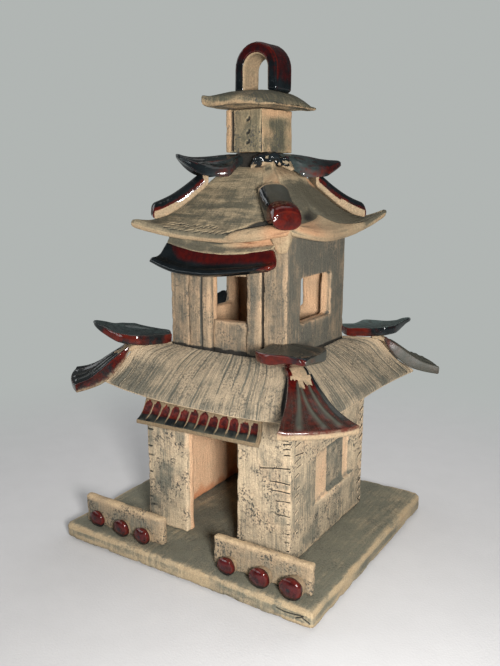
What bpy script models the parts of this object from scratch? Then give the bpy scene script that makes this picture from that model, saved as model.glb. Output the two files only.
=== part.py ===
"""Ceramic pagoda model, slab built from stoneware: a base plate, three storeys, two roofs and an arch finial.

Units are metres, +Z is up, the doorway faces -Y, and the origin is the middle of the base plate's underside.
"""

import math

import bmesh
import bpy

# Driving dimensions
GAP = 0.0003                       # joint between two touching pieces of clay
WALL = 0.0078                      # thickness of a rolled wall slab
EDGE = 0.0007                      # softened edge of a cut slab

PLATE_SIZE = (0.1766, 0.1638)      # base plate, left to right and front to back
PLATE_TOP = 0.0099
PLATE_CORNERS = (0.0030, 0.0015, 0.0070, 0.0040)   # corner radii: front left, front right, back right, back left

AXIS = (0.0060, -0.0023)           # centre line of the tower on the plate
SKEW = 0.00205                     # half the difference between the tower's width and its depth

GROUND = (0.05135, 0.0488)         # half width and half depth of the ground storey
GROUND_TOP = 0.1090
DOOR = (-0.0201, 0.0155)           # left and right jambs of the doorway
DOOR_HEAD = 0.0850
RECESS = (-0.0190, 0.0310)         # ends of the folded blind window in each side wall
RECESS_HEIGHTS = (0.0362, 0.0672)
RECESS_PANEL = (0.0005, 0.0235)    # the pushed-in middle of the blind window
RECESS_DEPTH = 0.0028
SLIT = 0.0011                      # cut above and below the pushed-in middle

FLOOR_BOTTOM = GROUND_TOP + GAP
FLOOR_TOP = 0.1170

UPPER = (0.0401, 0.0360)           # half width and half depth of the second storey
UPPER_FRONT_TOP = 0.1958
UPPER_SIDE_TOP = 0.1934
UPPER_LOW_TOPS = {"upper_post_right": 0.1942, "upper_board_right": 0.1930}    # under the low corner of the roof
WINDOW_FRONT = (-0.0106, 0.0145)   # opening in the front and back walls
WINDOW_SIDE = (-0.0154, 0.0136)    # opening in the side walls, front to back
WINDOW_HEIGHTS = (0.1434, 0.1695)
APRON_SET_BACK = 0.0016            # the panel under the front window lies behind the posts
POST_PROUD = 0.0009                # the posts beside the window stand proud of the boards

SKIRT_WALL_HEIGHT = 0.1260         # where the lower roof meets the second storey
SKIRT_EAVE = (0.0703, 0.0660)      # half width and half depth of the lower eaves
SKIRT_THICKNESS = (0.0070, 0.0028)     # at the wall and at the eave, measured straight down

ROOF_EAVE = (0.0505, 0.0480)       # half width and half depth of the upper eaves
ROOF_THICKNESS = (0.0064, 0.0052)

TOWER = (0.0122, 0.01465)          # half width and half depth of the third storey
TOWER_CENTRE = (-0.0004, -0.00025)
TOWER_TURN = math.radians(-5.0)
TOWER_BOTTOM = 0.2381
TOWER_TOP = 0.2620
TOWER_WALL = 0.0045

CAP_HALF = 0.0250                  # half side of the slab over the third storey
CAP_RIM = 0.0030                   # thickness of that slab at its edge
FINIAL_CENTRE = (0.00175, 0.0001)
FINIAL_OUTER = 0.01425             # outer radius of the arch
FINIAL_INNER = 0.0076
FINIAL_DEPTH = 0.0172
FINIAL_FOOT = 0.2723
FINIAL_SPRING = 0.2840             # height at which the legs turn into the arch

CLAY = (0.45, 0.36, 0.24)
GLAZE = (0.10, 0.012, 0.012)

CORNERS = {"front_right": (1, -1), "back_right": (1, 1), "back_left": (-1, 1), "front_left": (-1, -1)}


def clear_scene():
    """Remove whatever the file holds before the model is made."""
    for thing in list(bpy.data.objects):
        bpy.data.objects.remove(thing, do_unlink=True)


def pottery(name, colour, roughness):
    """A Principled material of one colour of clay or glaze."""
    material = bpy.data.materials.new(name)
    material.use_nodes = True
    shader = material.node_tree.nodes["Principled BSDF"]
    shader.inputs["Base Color"].default_value = (*colour, 1.0)
    shader.inputs["Roughness"].default_value = roughness
    shader.inputs["Metallic"].default_value = 0.0
    return material


def clay(name):
    """Stained, unglazed stoneware."""
    return pottery(name + "_clay", CLAY, 0.85)


def glaze(name):
    """Dark red gloss glaze."""
    return pottery(name + "_glaze", GLAZE, 0.18)


def add_object(name, mesh, material, parent=None):
    """Link a mesh to the scene as one named piece, with its faces pointing out."""
    mesh.materials.append(material)
    piece = bpy.data.objects.new(name, mesh)
    bpy.context.scene.collection.objects.link(piece)
    if parent is not None:
        piece.parent = parent
    return piece


def finished_mesh(name, shape):
    """Turn an edited shape into a mesh with outward faces."""
    bmesh.ops.recalc_face_normals(shape, faces=shape.faces)
    mesh = bpy.data.meshes.new(name)
    shape.to_mesh(mesh)
    shape.free()
    return mesh


def soften(piece, width=EDGE, segments=1):
    """Round the cut edges of a slab."""
    bevel = piece.modifiers.new("soft_edges", "BEVEL")
    bevel.width = width
    bevel.segments = segments
    bevel.limit_method = "ANGLE"
    bevel.angle_limit = math.radians(40)


def prism(name, outline, bottom, top, material, parent=None):
    """A slab with a plan outline, listed counter-clockwise, between two heights."""
    shape = bmesh.new()
    ring = [shape.verts.new((x, y, bottom)) for x, y in outline]
    base = shape.faces.new(ring)
    raised = bmesh.ops.extrude_face_region(shape, geom=[base])
    moved = [v for v in raised["geom"] if isinstance(v, bmesh.types.BMVert)]
    bmesh.ops.translate(shape, verts=moved, vec=(0, 0, top - bottom))
    return add_object(name, finished_mesh(name, shape), material, parent)


def block(name, low, high, material, parent=None):
    """A rectangular slab between two opposite corners."""
    outline = [(low[0], low[1]), (high[0], low[1]), (high[0], high[1]), (low[0], high[1])]
    return prism(name, outline, low[2], high[2], material, parent)


def hide_cutter(cutter):
    """A cutter shapes its wall and is not a piece itself."""
    cutter.hide_render = True
    cutter.display_type = "WIRE"


def cut(piece, cutter):
    """Take the cutter's volume out of a piece."""
    hide_cutter(cutter)
    boolean = piece.modifiers.new("opening", "BOOLEAN")
    boolean.operation = "DIFFERENCE"
    boolean.solver = "EXACT"
    boolean.object = cutter


def smooth_curve(points, t):
    """Point at t, from 0 to 1, on a smooth curve through evenly weighted points (any number of coordinates)."""
    last = len(points) - 1
    place = min(max(t, 0.0), 1.0) * last
    start = min(int(place), last - 1)
    local = place - start
    before = points[max(start - 1, 0)]
    here = points[start]
    after = points[start + 1]
    beyond = points[min(start + 2, last)]
    result = []
    for p0, p1, p2, p3 in zip(before, here, after, beyond):
        slope_in = (p2 - p0) / 2
        slope_out = (p3 - p1) / 2
        square = local * local
        cube = square * local
        value = (2 * cube - 3 * square + 1) * p1 + (cube - 2 * square + local) * slope_in
        value += (3 * square - 2 * cube) * p2 + (cube - square) * slope_out
        result.append(value)
    return result


def sheet(name, upper, lower, steps, material, parent=None):
    """A closed slab between two surfaces, each a function of u and v from 0 to 1."""
    shape = bmesh.new()
    across, along = steps
    grids = []
    for surface in (upper, lower):
        grid = [[shape.verts.new(surface(i / across, j / along)) for j in range(along + 1)]
                for i in range(across + 1)]
        grids.append(grid)
    for grid in grids:
        for i in range(across):
            for j in range(along):
                shape.faces.new((grid[i][j], grid[i + 1][j], grid[i + 1][j + 1], grid[i][j + 1]))
    rims = []
    for grid in grids:
        rim = [grid[i][0] for i in range(across)]
        rim += [grid[across][j] for j in range(along)]
        rim += [grid[i][along] for i in range(across, 0, -1)]
        rim += [grid[0][j] for j in range(along, 0, -1)]
        rims.append(rim)
    for n in range(len(rims[0])):
        after = (n + 1) % len(rims[0])
        shape.faces.new((rims[0][n], rims[0][after], rims[1][after], rims[1][n]))
    piece = add_object(name, finished_mesh(name, shape), material, parent)
    piece.data.shade_smooth()
    piece.data.set_sharp_from_angle(angle=math.radians(35))
    return piece


def tower_axis():
    """The empty at the tower's centre line, on the table's level."""
    axis = bpy.data.objects.new("tower_axis", None)
    axis.location = (*AXIS, 0)
    bpy.context.scene.collection.objects.link(axis)
    return axis


def corner_frame(name, axis):
    """An empty whose X runs outward along a corner's diagonal and whose Y runs across it."""
    side_x, side_y = CORNERS[name]
    frame = bpy.data.objects.new(name + "_diagonal", None)
    frame.location = (side_x * SKEW, -side_y * SKEW, 0)
    frame.rotation_euler = (0, 0, math.atan2(side_y, side_x))
    frame.parent = axis
    bpy.context.scene.collection.objects.link(frame)
    return frame


# Base plate, parapets and stubs

def base_plate():
    """The ground slab, with its corners worn to different radii."""
    half_x = PLATE_SIZE[0] / 2
    half_y = PLATE_SIZE[1] / 2
    turns = ((-1, -1, 180), (1, -1, 270), (1, 1, 0), (-1, 1, 90))
    outline = []
    for (side_x, side_y, start), radius in zip(turns, PLATE_CORNERS):
        centre = (side_x * (half_x - radius), side_y * (half_y - radius))
        for step in range(4):
            angle = math.radians(start + step * 30)
            outline.append((centre[0] + radius * math.cos(angle), centre[1] + radius * math.sin(angle)))
    soften(prism("base_plate", outline, 0, PLATE_TOP, clay("base_plate")), 0.0011)


PARAPET_THICKNESS = 0.0048
PARAPETS = {                       # middle of the front face, length, height, turn in degrees
    "left": ((-0.0476, -0.0725), 0.0624, 0.0179, 0.0),
    "right": ((0.0504, -0.0708), 0.0620, 0.0185, 1.56),
}
STUBS = {                          # place along the plate, front of the disc, radius
    "left": ((-0.0676, -0.0770, 0.0057), (-0.0465, -0.0784, 0.0057), (-0.0298, -0.0786, 0.0055)),
    "right": ((0.0310, -0.0785, 0.0054), (0.0530, -0.0795, 0.0059), (0.0725, -0.0800, 0.0064)),
}
STUB_DOME = 0.0010


def parapet(side):
    """A low upright slab near the plate's front edge."""
    (x, y), length, height, turn = PARAPETS[side]
    name = "parapet_" + side
    low = (-length / 2, 0, 0)
    high = (length / 2, PARAPET_THICKNESS, height)
    piece = block(name, low, high, clay(name))
    piece.location = (x, y, PLATE_TOP + GAP)
    piece.rotation_euler = (0, 0, math.radians(turn))
    soften(piece)


def parapet_face(side, x):
    """How far forward the parapet's front face is at a place along it."""
    (centre_x, centre_y), _, _, turn = PARAPETS[side]
    return centre_y + (x - centre_x) * math.tan(math.radians(turn))


def stub(side, number, place):
    """A short coil of clay that lies on the plate against the parapet, with a domed glazed end."""
    x, front, radius = place
    back = min(parapet_face(side, x - radius), parapet_face(side, x + radius)) - GAP
    length = back - front
    name = "stub_%s_%d" % (side, number)
    profile = [(0.0, 0.0), (radius * 0.55, STUB_DOME * 0.3), (radius * 0.9, STUB_DOME), (radius, STUB_DOME * 2),
               (radius, length), (0.0, length)]
    shape = bmesh.new()
    points = [shape.verts.new((r, y, 0)) for r, y in profile]
    edges = [shape.edges.new(pair) for pair in zip(points, points[1:])]
    bmesh.ops.spin(shape, geom=points + edges, cent=(0, 0, 0), axis=(0, 1, 0), angle=math.tau, steps=20)
    bmesh.ops.remove_doubles(shape, verts=shape.verts, dist=0.00001)
    piece = add_object(name, finished_mesh(name, shape), glaze(name))
    piece.location = (x, front, PLATE_TOP + GAP + radius)
    piece.data.shade_smooth()
    piece.data.set_sharp_from_angle(angle=math.radians(40))


# Ground storey

def ground_block(name, low, high, axis):
    """A wall slab of the ground storey, from the plate up."""
    piece = block(name, (*low, PLATE_TOP + GAP), (*high, GROUND_TOP), clay(name), axis)
    return piece


def ground_front(axis):
    """Two piers beside the doorway and the lintel over it."""
    half_x, half_y = GROUND
    back = -half_y + WALL
    soften(ground_block("door_pier_left", (-half_x, -half_y), (DOOR[0], back), axis))
    soften(ground_block("door_pier_right", (DOOR[1], -half_y), (half_x, back), axis))
    low = (DOOR[0] + GAP, -half_y, DOOR_HEAD)
    high = (DOOR[1] - GAP, back, GROUND_TOP)
    soften(block("door_lintel", low, high, clay("door_lintel"), axis))


def ground_back(axis):
    """The plain back wall."""
    half_x, half_y = GROUND
    soften(ground_block("ground_back_wall", (-half_x, half_y - WALL), (half_x, half_y), axis))


def recess_cutter(name, side, axis):
    """The volume in front of the folded blind window, which slopes in to the pushed-in middle."""
    face = side * GROUND[0]
    outside = side * 0.002
    deep = side * RECESS_DEPTH
    outline = [(face + outside, RECESS[0] - 0.001), (face + outside, RECESS[1] + 0.001), (face, RECESS[1]),
               (face - deep, RECESS_PANEL[1]), (face - deep, RECESS_PANEL[0]), (face, RECESS[0])]
    if side > 0:
        outline.reverse()
    low, high = RECESS_HEIGHTS
    return prism(name, outline, low, high, clay(name), axis)


def slit_cutter(name, side, height, axis):
    """The thin cut through the wall at the head or the sill of the pushed-in middle."""
    face = side * GROUND[0]
    reach = sorted((face + side * 0.002, face - side * (WALL + 0.002)))
    low = (reach[0], RECESS_PANEL[0] - 0.001, height)
    high = (reach[1], RECESS_PANEL[1] + 0.001, height + SLIT)
    return block(name, low, high, clay(name), axis)


def ground_side(side, axis):
    """A side wall between the front piers and the back wall, with its folded blind window."""
    word = "right" if side > 0 else "left"
    name = "ground_%s_wall" % word
    half_x, half_y = GROUND
    reach = sorted((side * half_x, side * (half_x - WALL)))
    wall = ground_block(name, (reach[0], -half_y + WALL + GAP), (reach[1], half_y - WALL - GAP), axis)
    cut(wall, recess_cutter(name + "_recess", side, axis))
    low, high = RECESS_HEIGHTS
    cut(wall, slit_cutter(name + "_head_slit", side, high - SLIT, axis))
    cut(wall, slit_cutter(name + "_sill_slit", side, low, axis))


CANOPY_LEFT = -0.0490
CANOPY_RIGHT = 0.0375
CANOPY_SECTION = ((-0.0492, 0.1010), (-0.0506, 0.0945), (-0.0532, 0.0885), (-0.0562, 0.0842), (-0.0600, 0.0812))
CANOPY_THICKNESS = 0.0042
CANOPY_RISE = 0.0030               # the lower edge is this much higher at its right end


def door_canopy(axis):
    """The flared band over the doorway, hung on the wall under the eave."""
    def place(u, v):
        y, z = smooth_curve(CANOPY_SECTION, v)
        x = CANOPY_LEFT + (CANOPY_RIGHT - CANOPY_LEFT) * u
        lean = 0.0035 * (1 - v) * (1 - 2 * u)
        return x + lean, y, z + CANOPY_RISE * u * v

    def outer(u, v):
        x, y, z = place(u, v)
        return (x, y - CANOPY_THICKNESS * (1 - 0.55 * v) + 0.0016 * v, z + 0.0012)

    def inner(u, v):
        x, y, z = place(u, v)
        return (x, y, z - 0.0022 * v)

    sheet("door_canopy", outer, inner, (8, 5), glaze("door_canopy"), axis)


# Lower roof

SKIRT_HIP = ((0.03835, 0.1260), (0.0480, 0.1259), (0.0545, 0.1243), (0.0585, 0.1175), (0.0627, 0.1115), (0.0682, 0.1060))
SKIRT_TIPS = {(-1, -1): 0.0006, (1, 1): -0.0014}   # how much a corner of the eave is higher or lower


def skirt_hip(v, corner):
    """Distance out along the diagonal, as a half width, and height of the lower roof's hip."""
    half, height = smooth_curve(SKIRT_HIP, v)
    return half, height + SKIRT_TIPS.get(corner, 0.0) * v ** 3


def skirt_middle(v):
    """How far the middle of a panel has gone from the wall to the eave, and its height."""
    return v, SKIRT_WALL_HEIGHT - 0.0250 * v + 0.0016 * math.sin(math.pi * v)


def panel_surface(outward, hip, middle, wall, eave, skew, bulge, drops):
    """Surface of one roof panel that is straight in its middle and lifts towards its two hips.

    outward is the panel's direction; wall and eave are distances from the axis; skew shifts the hips;
    drops is how far the surface lies under the roof's top at the wall and at the eave.
    """
    along = (-outward[1], outward[0])

    def surface(u, v):
        side = 2 * u - 1
        share = abs(side) ** bulge
        end = 1 if side > 0 else -1
        corner = (outward[0] + end * along[0], outward[1] + end * along[1])
        reach, middle_height = middle(v)
        middle_distance = wall + (eave - wall) * reach
        hip_half, hip_height = hip(v, corner)
        hip_distance = hip_half + skew
        hip_width = hip_half - skew - GAP
        distance = (1 - share) * middle_distance + share * hip_distance
        height = (1 - share) * middle_height + share * hip_height
        height -= drops[0] + (drops[1] - drops[0]) * v
        width = hip_width * side
        return (outward[0] * distance + along[0] * width, outward[1] * distance + along[1] * width, height)

    return surface


TOP_FACE = (0.0, 0.0)


PANELS = {"front": (0, -1), "right": (1, 0), "back": (0, 1), "left": (-1, 0)}


def skirt_panel(side, axis):
    """One slab of the lower roof, from the second storey's wall down to the eave."""
    outward = PANELS[side]
    sideways = outward[0] != 0
    wall = UPPER[0] + GAP if sideways else UPPER[1] + POST_PROUD + GAP
    eave = SKIRT_EAVE[0] if sideways else SKIRT_EAVE[1]
    skew = SKEW if sideways else -SKEW
    shape = (outward, skirt_hip, skirt_middle, wall, eave, skew, 3.0)
    name = "lower_roof_" + side
    upper = panel_surface(*shape, TOP_FACE)
    lower = panel_surface(*shape, SKIRT_THICKNESS)
    sheet(name, upper, lower, (10, 6), clay(name), axis)


FAN_TOP = ((0.0568, 0.1262), (0.0604, 0.1228), (0.0650, 0.1186), (0.0700, 0.1138), (0.0748, 0.1104), (0.0810, 0.1084))
FAN_UNDER = ((0.0562, 0.1236), (0.0589, 0.1178), (0.0630, 0.1118), (0.0684, 0.1067), (0.0745, 0.1044), (0.0806, 0.1036))
FAN_WIDTHS = (0.0065, 0.0205)      # half width at the top and at the foot
FAN_RIBS = (-0.52, 0.02, 0.55)     # ribs across the fan, as shares of its half width
FAN_RIB_HEIGHT = 0.0011
FAN_FEET = {"front_right": (0.0014, 0.0), "back_right": (0.0020, -0.0050)}    # how a foot differs: out and up


def fan(name, axis):
    """A flared hip cover: narrow under the leaf, wide at its upturned foot, with three ribs."""
    foot_out, foot_up = FAN_FEET.get(name, (0.0, 0.0))

    def half_width(v):
        return FAN_WIDTHS[0] + (FAN_WIDTHS[1] - FAN_WIDTHS[0]) * v ** 1.6

    def place(u, v, path, lift):
        half, height = smooth_curve(path, v)
        half += foot_out * v ** 3
        height += foot_up * v ** 3
        side = 2 * u - 1
        half -= 0.0022 * v * side * side
        rib = sum(math.exp(-((side - centre) / 0.10) ** 2) for centre in FAN_RIBS)
        height += lift * FAN_RIB_HEIGHT * rib * min(1.0, 3 * v)
        return (half * math.sqrt(2), side * half_width(v), height)

    def upper(u, v):
        return place(u, v, FAN_TOP, 1)

    def lower(u, v):
        return place(u, v, FAN_UNDER, 0)

    piece_name = "fan_" + name
    sheet(piece_name, upper, lower, (12, 6), glaze(piece_name), corner_frame(name, axis))


LEAF_STEPS = (8, 10)
LEAF_CLEARANCE = 0.0034            # keeps neighbouring leaves apart where they meet under the third storey


def leaf_outline(v, half_width):
    """Half width of a leaf along its length: a blunt inner end, wide middle and pointed tip."""
    swell = math.sin(math.pi * min(1.0, 0.10 + 0.90 * v) ** 0.85)
    return 0.0012 + (half_width - 0.0012) * max(0.0, swell) ** 0.8


def leaf(name, piece_name, ridge, half_width, thickness, edge_lift, axis, kept=1.0):
    """A boat-shaped leaf whose middle line follows ridge and whose edges lift or droop by edge_lift.

    kept is the share of its length that is left, counted from the inner end.
    """
    lift, tip, across = LEAF_CHANGES.get(piece_name, (0.0, 0.0, 0.0))

    def place(u, v, under):
        half, height = smooth_curve(ridge, v * kept)
        reach = half * math.sqrt(2)
        side = 2 * u - 1
        width = min(leaf_outline(v * kept, half_width), reach - LEAF_CLEARANCE)
        share = width / half_width
        height += edge_lift * (side * share) ** 2 + lift + tip * (v * kept) ** 5
        height -= under * thickness * (0.35 + 0.65 * min(1.0, share + 0.6 * (1 - v * kept)))
        return (reach, side * width + across * min(1.0, 0.2 + 2 * v), height)

    def upper(u, v):
        return place(u, v, 0)

    def lower(u, v):
        return place(u, v, 1)

    sheet(piece_name, upper, lower, LEAF_STEPS, glaze(piece_name), corner_frame(name, axis))


LOWER_LEAF = ((0.0385, 0.1325), (0.0440, 0.1322), (0.0500, 0.1318), (0.0560, 0.1325), (0.0620, 0.1352), (0.0670, 0.1388),
              (0.0703, 0.1414))
UPPER_LEAF = ((0.0032, 0.2377), (0.0080, 0.2377), (0.0140, 0.2376), (0.0200, 0.2366), (0.0260, 0.2356), (0.0310, 0.2360),
              (0.0345, 0.2376))
LEAF_CHANGES = {                   # how a leaf differs: whole leaf up, its tip up, and to one side
    "lower_leaf_front_right": (0.0030, 0.0, -0.0035),
    "lower_leaf_back_right": (0.0, -0.0068, 0.0),
    "upper_leaf_back_right": (0.0, -0.0046, 0.0),
}

BROKEN_LEAF_KEPT = 0.40            # the front right leaf of the upper roof has snapped off outside this share


# Second storey

def upper_floor(axis):
    """The slab that carries the second storey on the ground walls, its edges cut to the roof's slope."""
    bottom_half = (GROUND[0] - 0.0003, GROUND[1] - 0.0003)
    top_half = (0.0425, 0.0384)
    shape = bmesh.new()
    rings = []
    for (half_x, half_y), z in ((bottom_half, FLOOR_BOTTOM), (top_half, FLOOR_TOP)):
        corners = ((-half_x, -half_y), (half_x, -half_y), (half_x, half_y), (-half_x, half_y))
        rings.append([shape.verts.new((x, y, z)) for x, y in corners])
    shape.faces.new(rings[0])
    shape.faces.new(rings[1])
    for n in range(4):
        after = (n + 1) % 4
        shape.faces.new((rings[0][n], rings[0][after], rings[1][after], rings[1][n]))
    add_object("upper_floor", finished_mesh("upper_floor", shape), clay("upper_floor"), axis)


def upper_front(axis):
    """Boards, posts, apron and head of the second storey's front wall."""
    half_x, half_y = UPPER
    bottom = FLOOR_TOP + GAP
    back = -half_y + WALL
    boards = {
        "upper_board_left": (-half_x, -0.0264, 0.0),
        "upper_post_left": (-0.0261, WINDOW_FRONT[0], -POST_PROUD),
        "upper_post_right": (WINDOW_FRONT[1], 0.0244, -POST_PROUD),
        "upper_board_right": (0.0247, half_x, 0.0),
    }
    for name, (left, right, proud) in boards.items():
        low = (left, -half_y + proud, bottom)
        top = UPPER_LOW_TOPS.get(name, UPPER_FRONT_TOP)
        soften(block(name, low, (right, back, top), clay(name), axis), 0.0004)
    left = WINDOW_FRONT[0] + GAP
    right = WINDOW_FRONT[1] - GAP
    face = -half_y + APRON_SET_BACK
    soften(block("upper_apron", (left, face, bottom), (right, back, WINDOW_HEIGHTS[0]), clay("upper_apron"), axis), 0.0004)
    soften(block("upper_head", (left, face, WINDOW_HEIGHTS[1]), (right, back, UPPER_FRONT_TOP),
                 clay("upper_head"), axis), 0.0004)


def upper_wall(name, low, high, hole_low, hole_high, axis):
    """A wall slab of the second storey with a window cut through it."""
    wall = block(name, low, high, clay(name), axis)
    cut(wall, block(name + "_window", hole_low, hole_high, clay(name + "_window"), axis))


def upper_walls(axis):
    """The side walls between front and back, and the back wall, each with its window."""
    half_x, half_y = UPPER
    bottom = FLOOR_TOP + GAP
    sill, head = WINDOW_HEIGHTS
    past = 0.003
    for side, word in ((1, "right"), (-1, "left")):
        reach = sorted((side * half_x, side * (half_x - WALL)))
        low = (reach[0], -half_y + WALL + GAP, bottom)
        high = (reach[1], half_y - WALL - GAP, UPPER_SIDE_TOP)
        hole_low = (reach[0] - past, WINDOW_SIDE[0], sill)
        hole_high = (reach[1] + past, WINDOW_SIDE[1], head)
        upper_wall("upper_%s_wall" % word, low, high, hole_low, hole_high, axis)
    low = (-half_x, half_y - WALL, bottom)
    high = (half_x, half_y, UPPER_FRONT_TOP)
    hole_low = (WINDOW_FRONT[0], half_y - WALL - past, sill)
    hole_high = (WINDOW_FRONT[1], half_y + past, head)
    upper_wall("upper_back_wall", low, high, hole_low, hole_high, axis)


AWNING_SECTION = ((-0.0409, 0.1872), (-0.0424, 0.1832), (-0.0446, 0.1790), (-0.0468, 0.1755), (-0.0490, 0.1728))
AWNING_THICKNESS = 0.0042
AWNING_RISE = 0.0048               # how much its lower edge climbs towards the right end


def window_awning(axis):
    """The curved glazed strip over the front window, with a point turned up at its left end."""
    def place(u, v, inward):
        y, z = smooth_curve(AWNING_SECTION, v)
        left = -0.0385 - 0.0070 * v
        right = 0.0335 + 0.0040 * v
        x = left + (right - left) * u
        droop = -0.0016 * math.sin(math.pi * u)
        tip = 0.0042 * max(0.0, 1 - 4 * u) ** 1.5 + AWNING_RISE * max(0.0, (u - 0.4) / 0.6) ** 1.4
        return (x, y + inward * AWNING_THICKNESS * 0.8, z + droop + tip * v - inward * AWNING_THICKNESS * 0.5)

    def outer(u, v):
        return place(u, v, 0)

    def inner(u, v):
        return place(u, v, 1)

    sheet("window_awning", outer, inner, (12, 5), glaze("window_awning"), axis)


# Upper roof

ROOF_HIP = ((0.0120, 0.2310), (0.0170, 0.2268), (0.0225, 0.2205), (0.0280, 0.2140), (0.0340, 0.2075), (0.0400, 0.2030),
            (0.0470, 0.2010), (0.0545, 0.2035))
ROOF_MIDDLE = ((0.0, 0.2310), (0.14, 0.2262), (0.30, 0.2185), (0.46, 0.2110), (0.64, 0.2040), (0.82, 0.1980), (1.0, 0.1942))
ROOF_TOP_HALF = 0.0120
ROOF_TIPS = {                      # how a corner differs: out, up, and how far up the hip this reaches
    (-1, -1): (-0.0008, -0.0026, 7),
    (1, 1): (0.0020, 0.0024, 7),
    (1, -1): (-0.0125, -0.0025, 2),
}


def roof_hip(v, corner):
    """Distance out and height of the upper roof's hip."""
    half, height = smooth_curve(ROOF_HIP, v)
    outward, upward, power = ROOF_TIPS.get(corner, (0.0, 0.0, 1))
    return half + outward * v ** power, height + upward * v ** power


def roof_middle(v):
    """How far the middle of an upper panel has gone to the eave, and its height."""
    return smooth_curve(ROOF_MIDDLE, v)


def roof_panel(side, axis):
    """One slab of the upper roof, hollow curved and turned up at both corners."""
    outward = PANELS[side]
    sideways = outward[0] != 0
    wall = ROOF_TOP_HALF
    eave = ROOF_EAVE[0] if sideways else ROOF_EAVE[1]
    skew = SKEW if sideways else -SKEW
    shape = (outward, roof_hip, roof_middle, wall + skew, eave, skew, 2.2)
    name = "upper_roof_" + side
    upper = panel_surface(*shape, TOP_FACE)
    lower = panel_surface(*shape, ROOF_THICKNESS)
    sheet(name, upper, lower, (10, 8), clay(name), axis)


# Distance out along the diagonal, height of the underside, and thickness
HIP_BAR = ((0.0222, 0.2218, 0.0078), (0.0260, 0.2174, 0.0078), (0.0300, 0.2129, 0.0078), (0.0345, 0.2084, 0.0078),
           (0.0395, 0.2046, 0.0078), (0.0450, 0.2025, 0.0068))
BLOCK_BAR = ((0.0245, 0.2163, 0.0060), (0.0285, 0.2098, 0.0088), (0.0325, 0.2042, 0.0112), (0.0370, 0.2008, 0.0122),
             (0.0424, 0.2018, 0.0096), (0.0464, 0.1986, 0.0106))
HIP_BAR_HALF_WIDTH = 0.0083
BLOCK_BAR_ACROSS = -0.0035         # the bar over the broken corner lies to one side of its hip


def hip_bar(name, axis):
    """A thick rounded bar that lies down a hip of the upper roof, glazed on top."""
    block_end = name == "front_right"
    path = BLOCK_BAR if block_end else HIP_BAR
    across = BLOCK_BAR_ACROSS if block_end else 0.0

    def place(u, v, under):
        half, height, thickness = smooth_curve(path, v)
        side = 2 * u - 1
        rounding = abs(side) ** 3.0 * 0.0032
        height += 0.0 if under else thickness - rounding
        width = HIP_BAR_HALF_WIDTH * (1 - 0.12 * max(0.0, (v - 0.8) / 0.2) ** 2)
        return (half * math.sqrt(2), across + side * width, height)

    def upper(u, v):
        return place(u, v, False)

    def lower(u, v):
        return place(u, v, True)

    piece_name = "hip_bar_" + name
    sheet(piece_name, upper, lower, (6, 7), glaze(piece_name), corner_frame(name, axis))


# Third storey and finial

def top_pad(axis):
    """The clay pad under the third storey."""
    half = ROOF_TOP_HALF - GAP
    outline = [(-half - SKEW, -half + SKEW), (half + SKEW, -half + SKEW), (half + SKEW, half - SKEW), (-half - SKEW, half - SKEW)]
    soften(prism("top_pad", outline, 0.2250, 0.2309, clay("top_pad"), axis), 0.0004)


def third_storey(axis):
    """The small tower: four walls as one upright tube, turned a little on the roof."""
    half_x, half_y = TOWER
    low = (-half_x, -half_y, TOWER_BOTTOM)
    high = (half_x, half_y, TOWER_TOP)
    tower = block("third_storey", low, high, clay("third_storey"), axis)
    inner = block("third_storey_hollow", (-half_x + TOWER_WALL, -half_y + TOWER_WALL, TOWER_BOTTOM - 0.01),
                  (half_x - TOWER_WALL, half_y - TOWER_WALL, TOWER_TOP + 0.01), clay("hollow"), axis)
    for piece in (tower, inner):
        piece.location = (*TOWER_CENTRE, 0)
        piece.rotation_euler = (0, 0, TOWER_TURN)
    cut(tower, inner)


def cap_slab(axis):
    """The square slab over the third storey, sagging to its edges with its corners turned up a little."""
    def place(u, v, under):
        x = (2 * u - 1)
        y = (2 * v - 1)
        reach = max(abs(x), abs(y))
        corner = (abs(x) * abs(y)) ** 3
        edge = max(0.0, (reach - 0.55) / 0.45)
        fall = (0.0052 + 0.0016 * max(0.0, x)) * edge ** 1.2
        top = FINIAL_FOOT - GAP - fall + 0.0006 * corner
        bottom = TOWER_TOP + GAP + max(0.0, top - CAP_RIM - TOWER_TOP - GAP) * edge
        height = bottom if under else top
        pull = 1 - 0.03 * corner
        return (x * CAP_HALF * pull, y * CAP_HALF * pull, height)

    def upper(u, v):
        return place(u, v, False)

    def lower(u, v):
        return place(u, v, True)

    sheet("cap_slab", upper, lower, (8, 8), clay("cap_slab"), axis)


def finial(axis):
    """An arch bent from one thick strap, open from front to back."""
    shape = bmesh.new()
    steps = 14
    rings = []
    for radius in (FINIAL_OUTER, FINIAL_INNER):
        line = [(radius, FINIAL_FOOT)]
        line += [(radius * math.cos(math.pi * n / steps), FINIAL_SPRING + radius * math.sin(math.pi * n / steps))
                 for n in range(steps + 1)]
        line.append((-radius, FINIAL_FOOT))
        rings.append(line)
    outline = rings[0] + rings[1][::-1]
    face = shape.faces.new([shape.verts.new((x, -FINIAL_DEPTH / 2, z)) for x, z in outline])
    raised = bmesh.ops.extrude_face_region(shape, geom=[face])
    moved = [v for v in raised["geom"] if isinstance(v, bmesh.types.BMVert)]
    bmesh.ops.translate(shape, verts=moved, vec=(0, FINIAL_DEPTH, 0))
    piece = add_object("finial_arch", finished_mesh("finial_arch", shape), glaze("finial_arch"), axis)
    piece.location = (*FINIAL_CENTRE, 0)
    soften(piece, 0.0012)
    piece.data.shade_smooth()
    piece.data.set_sharp_from_angle(angle=math.radians(40))


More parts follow.
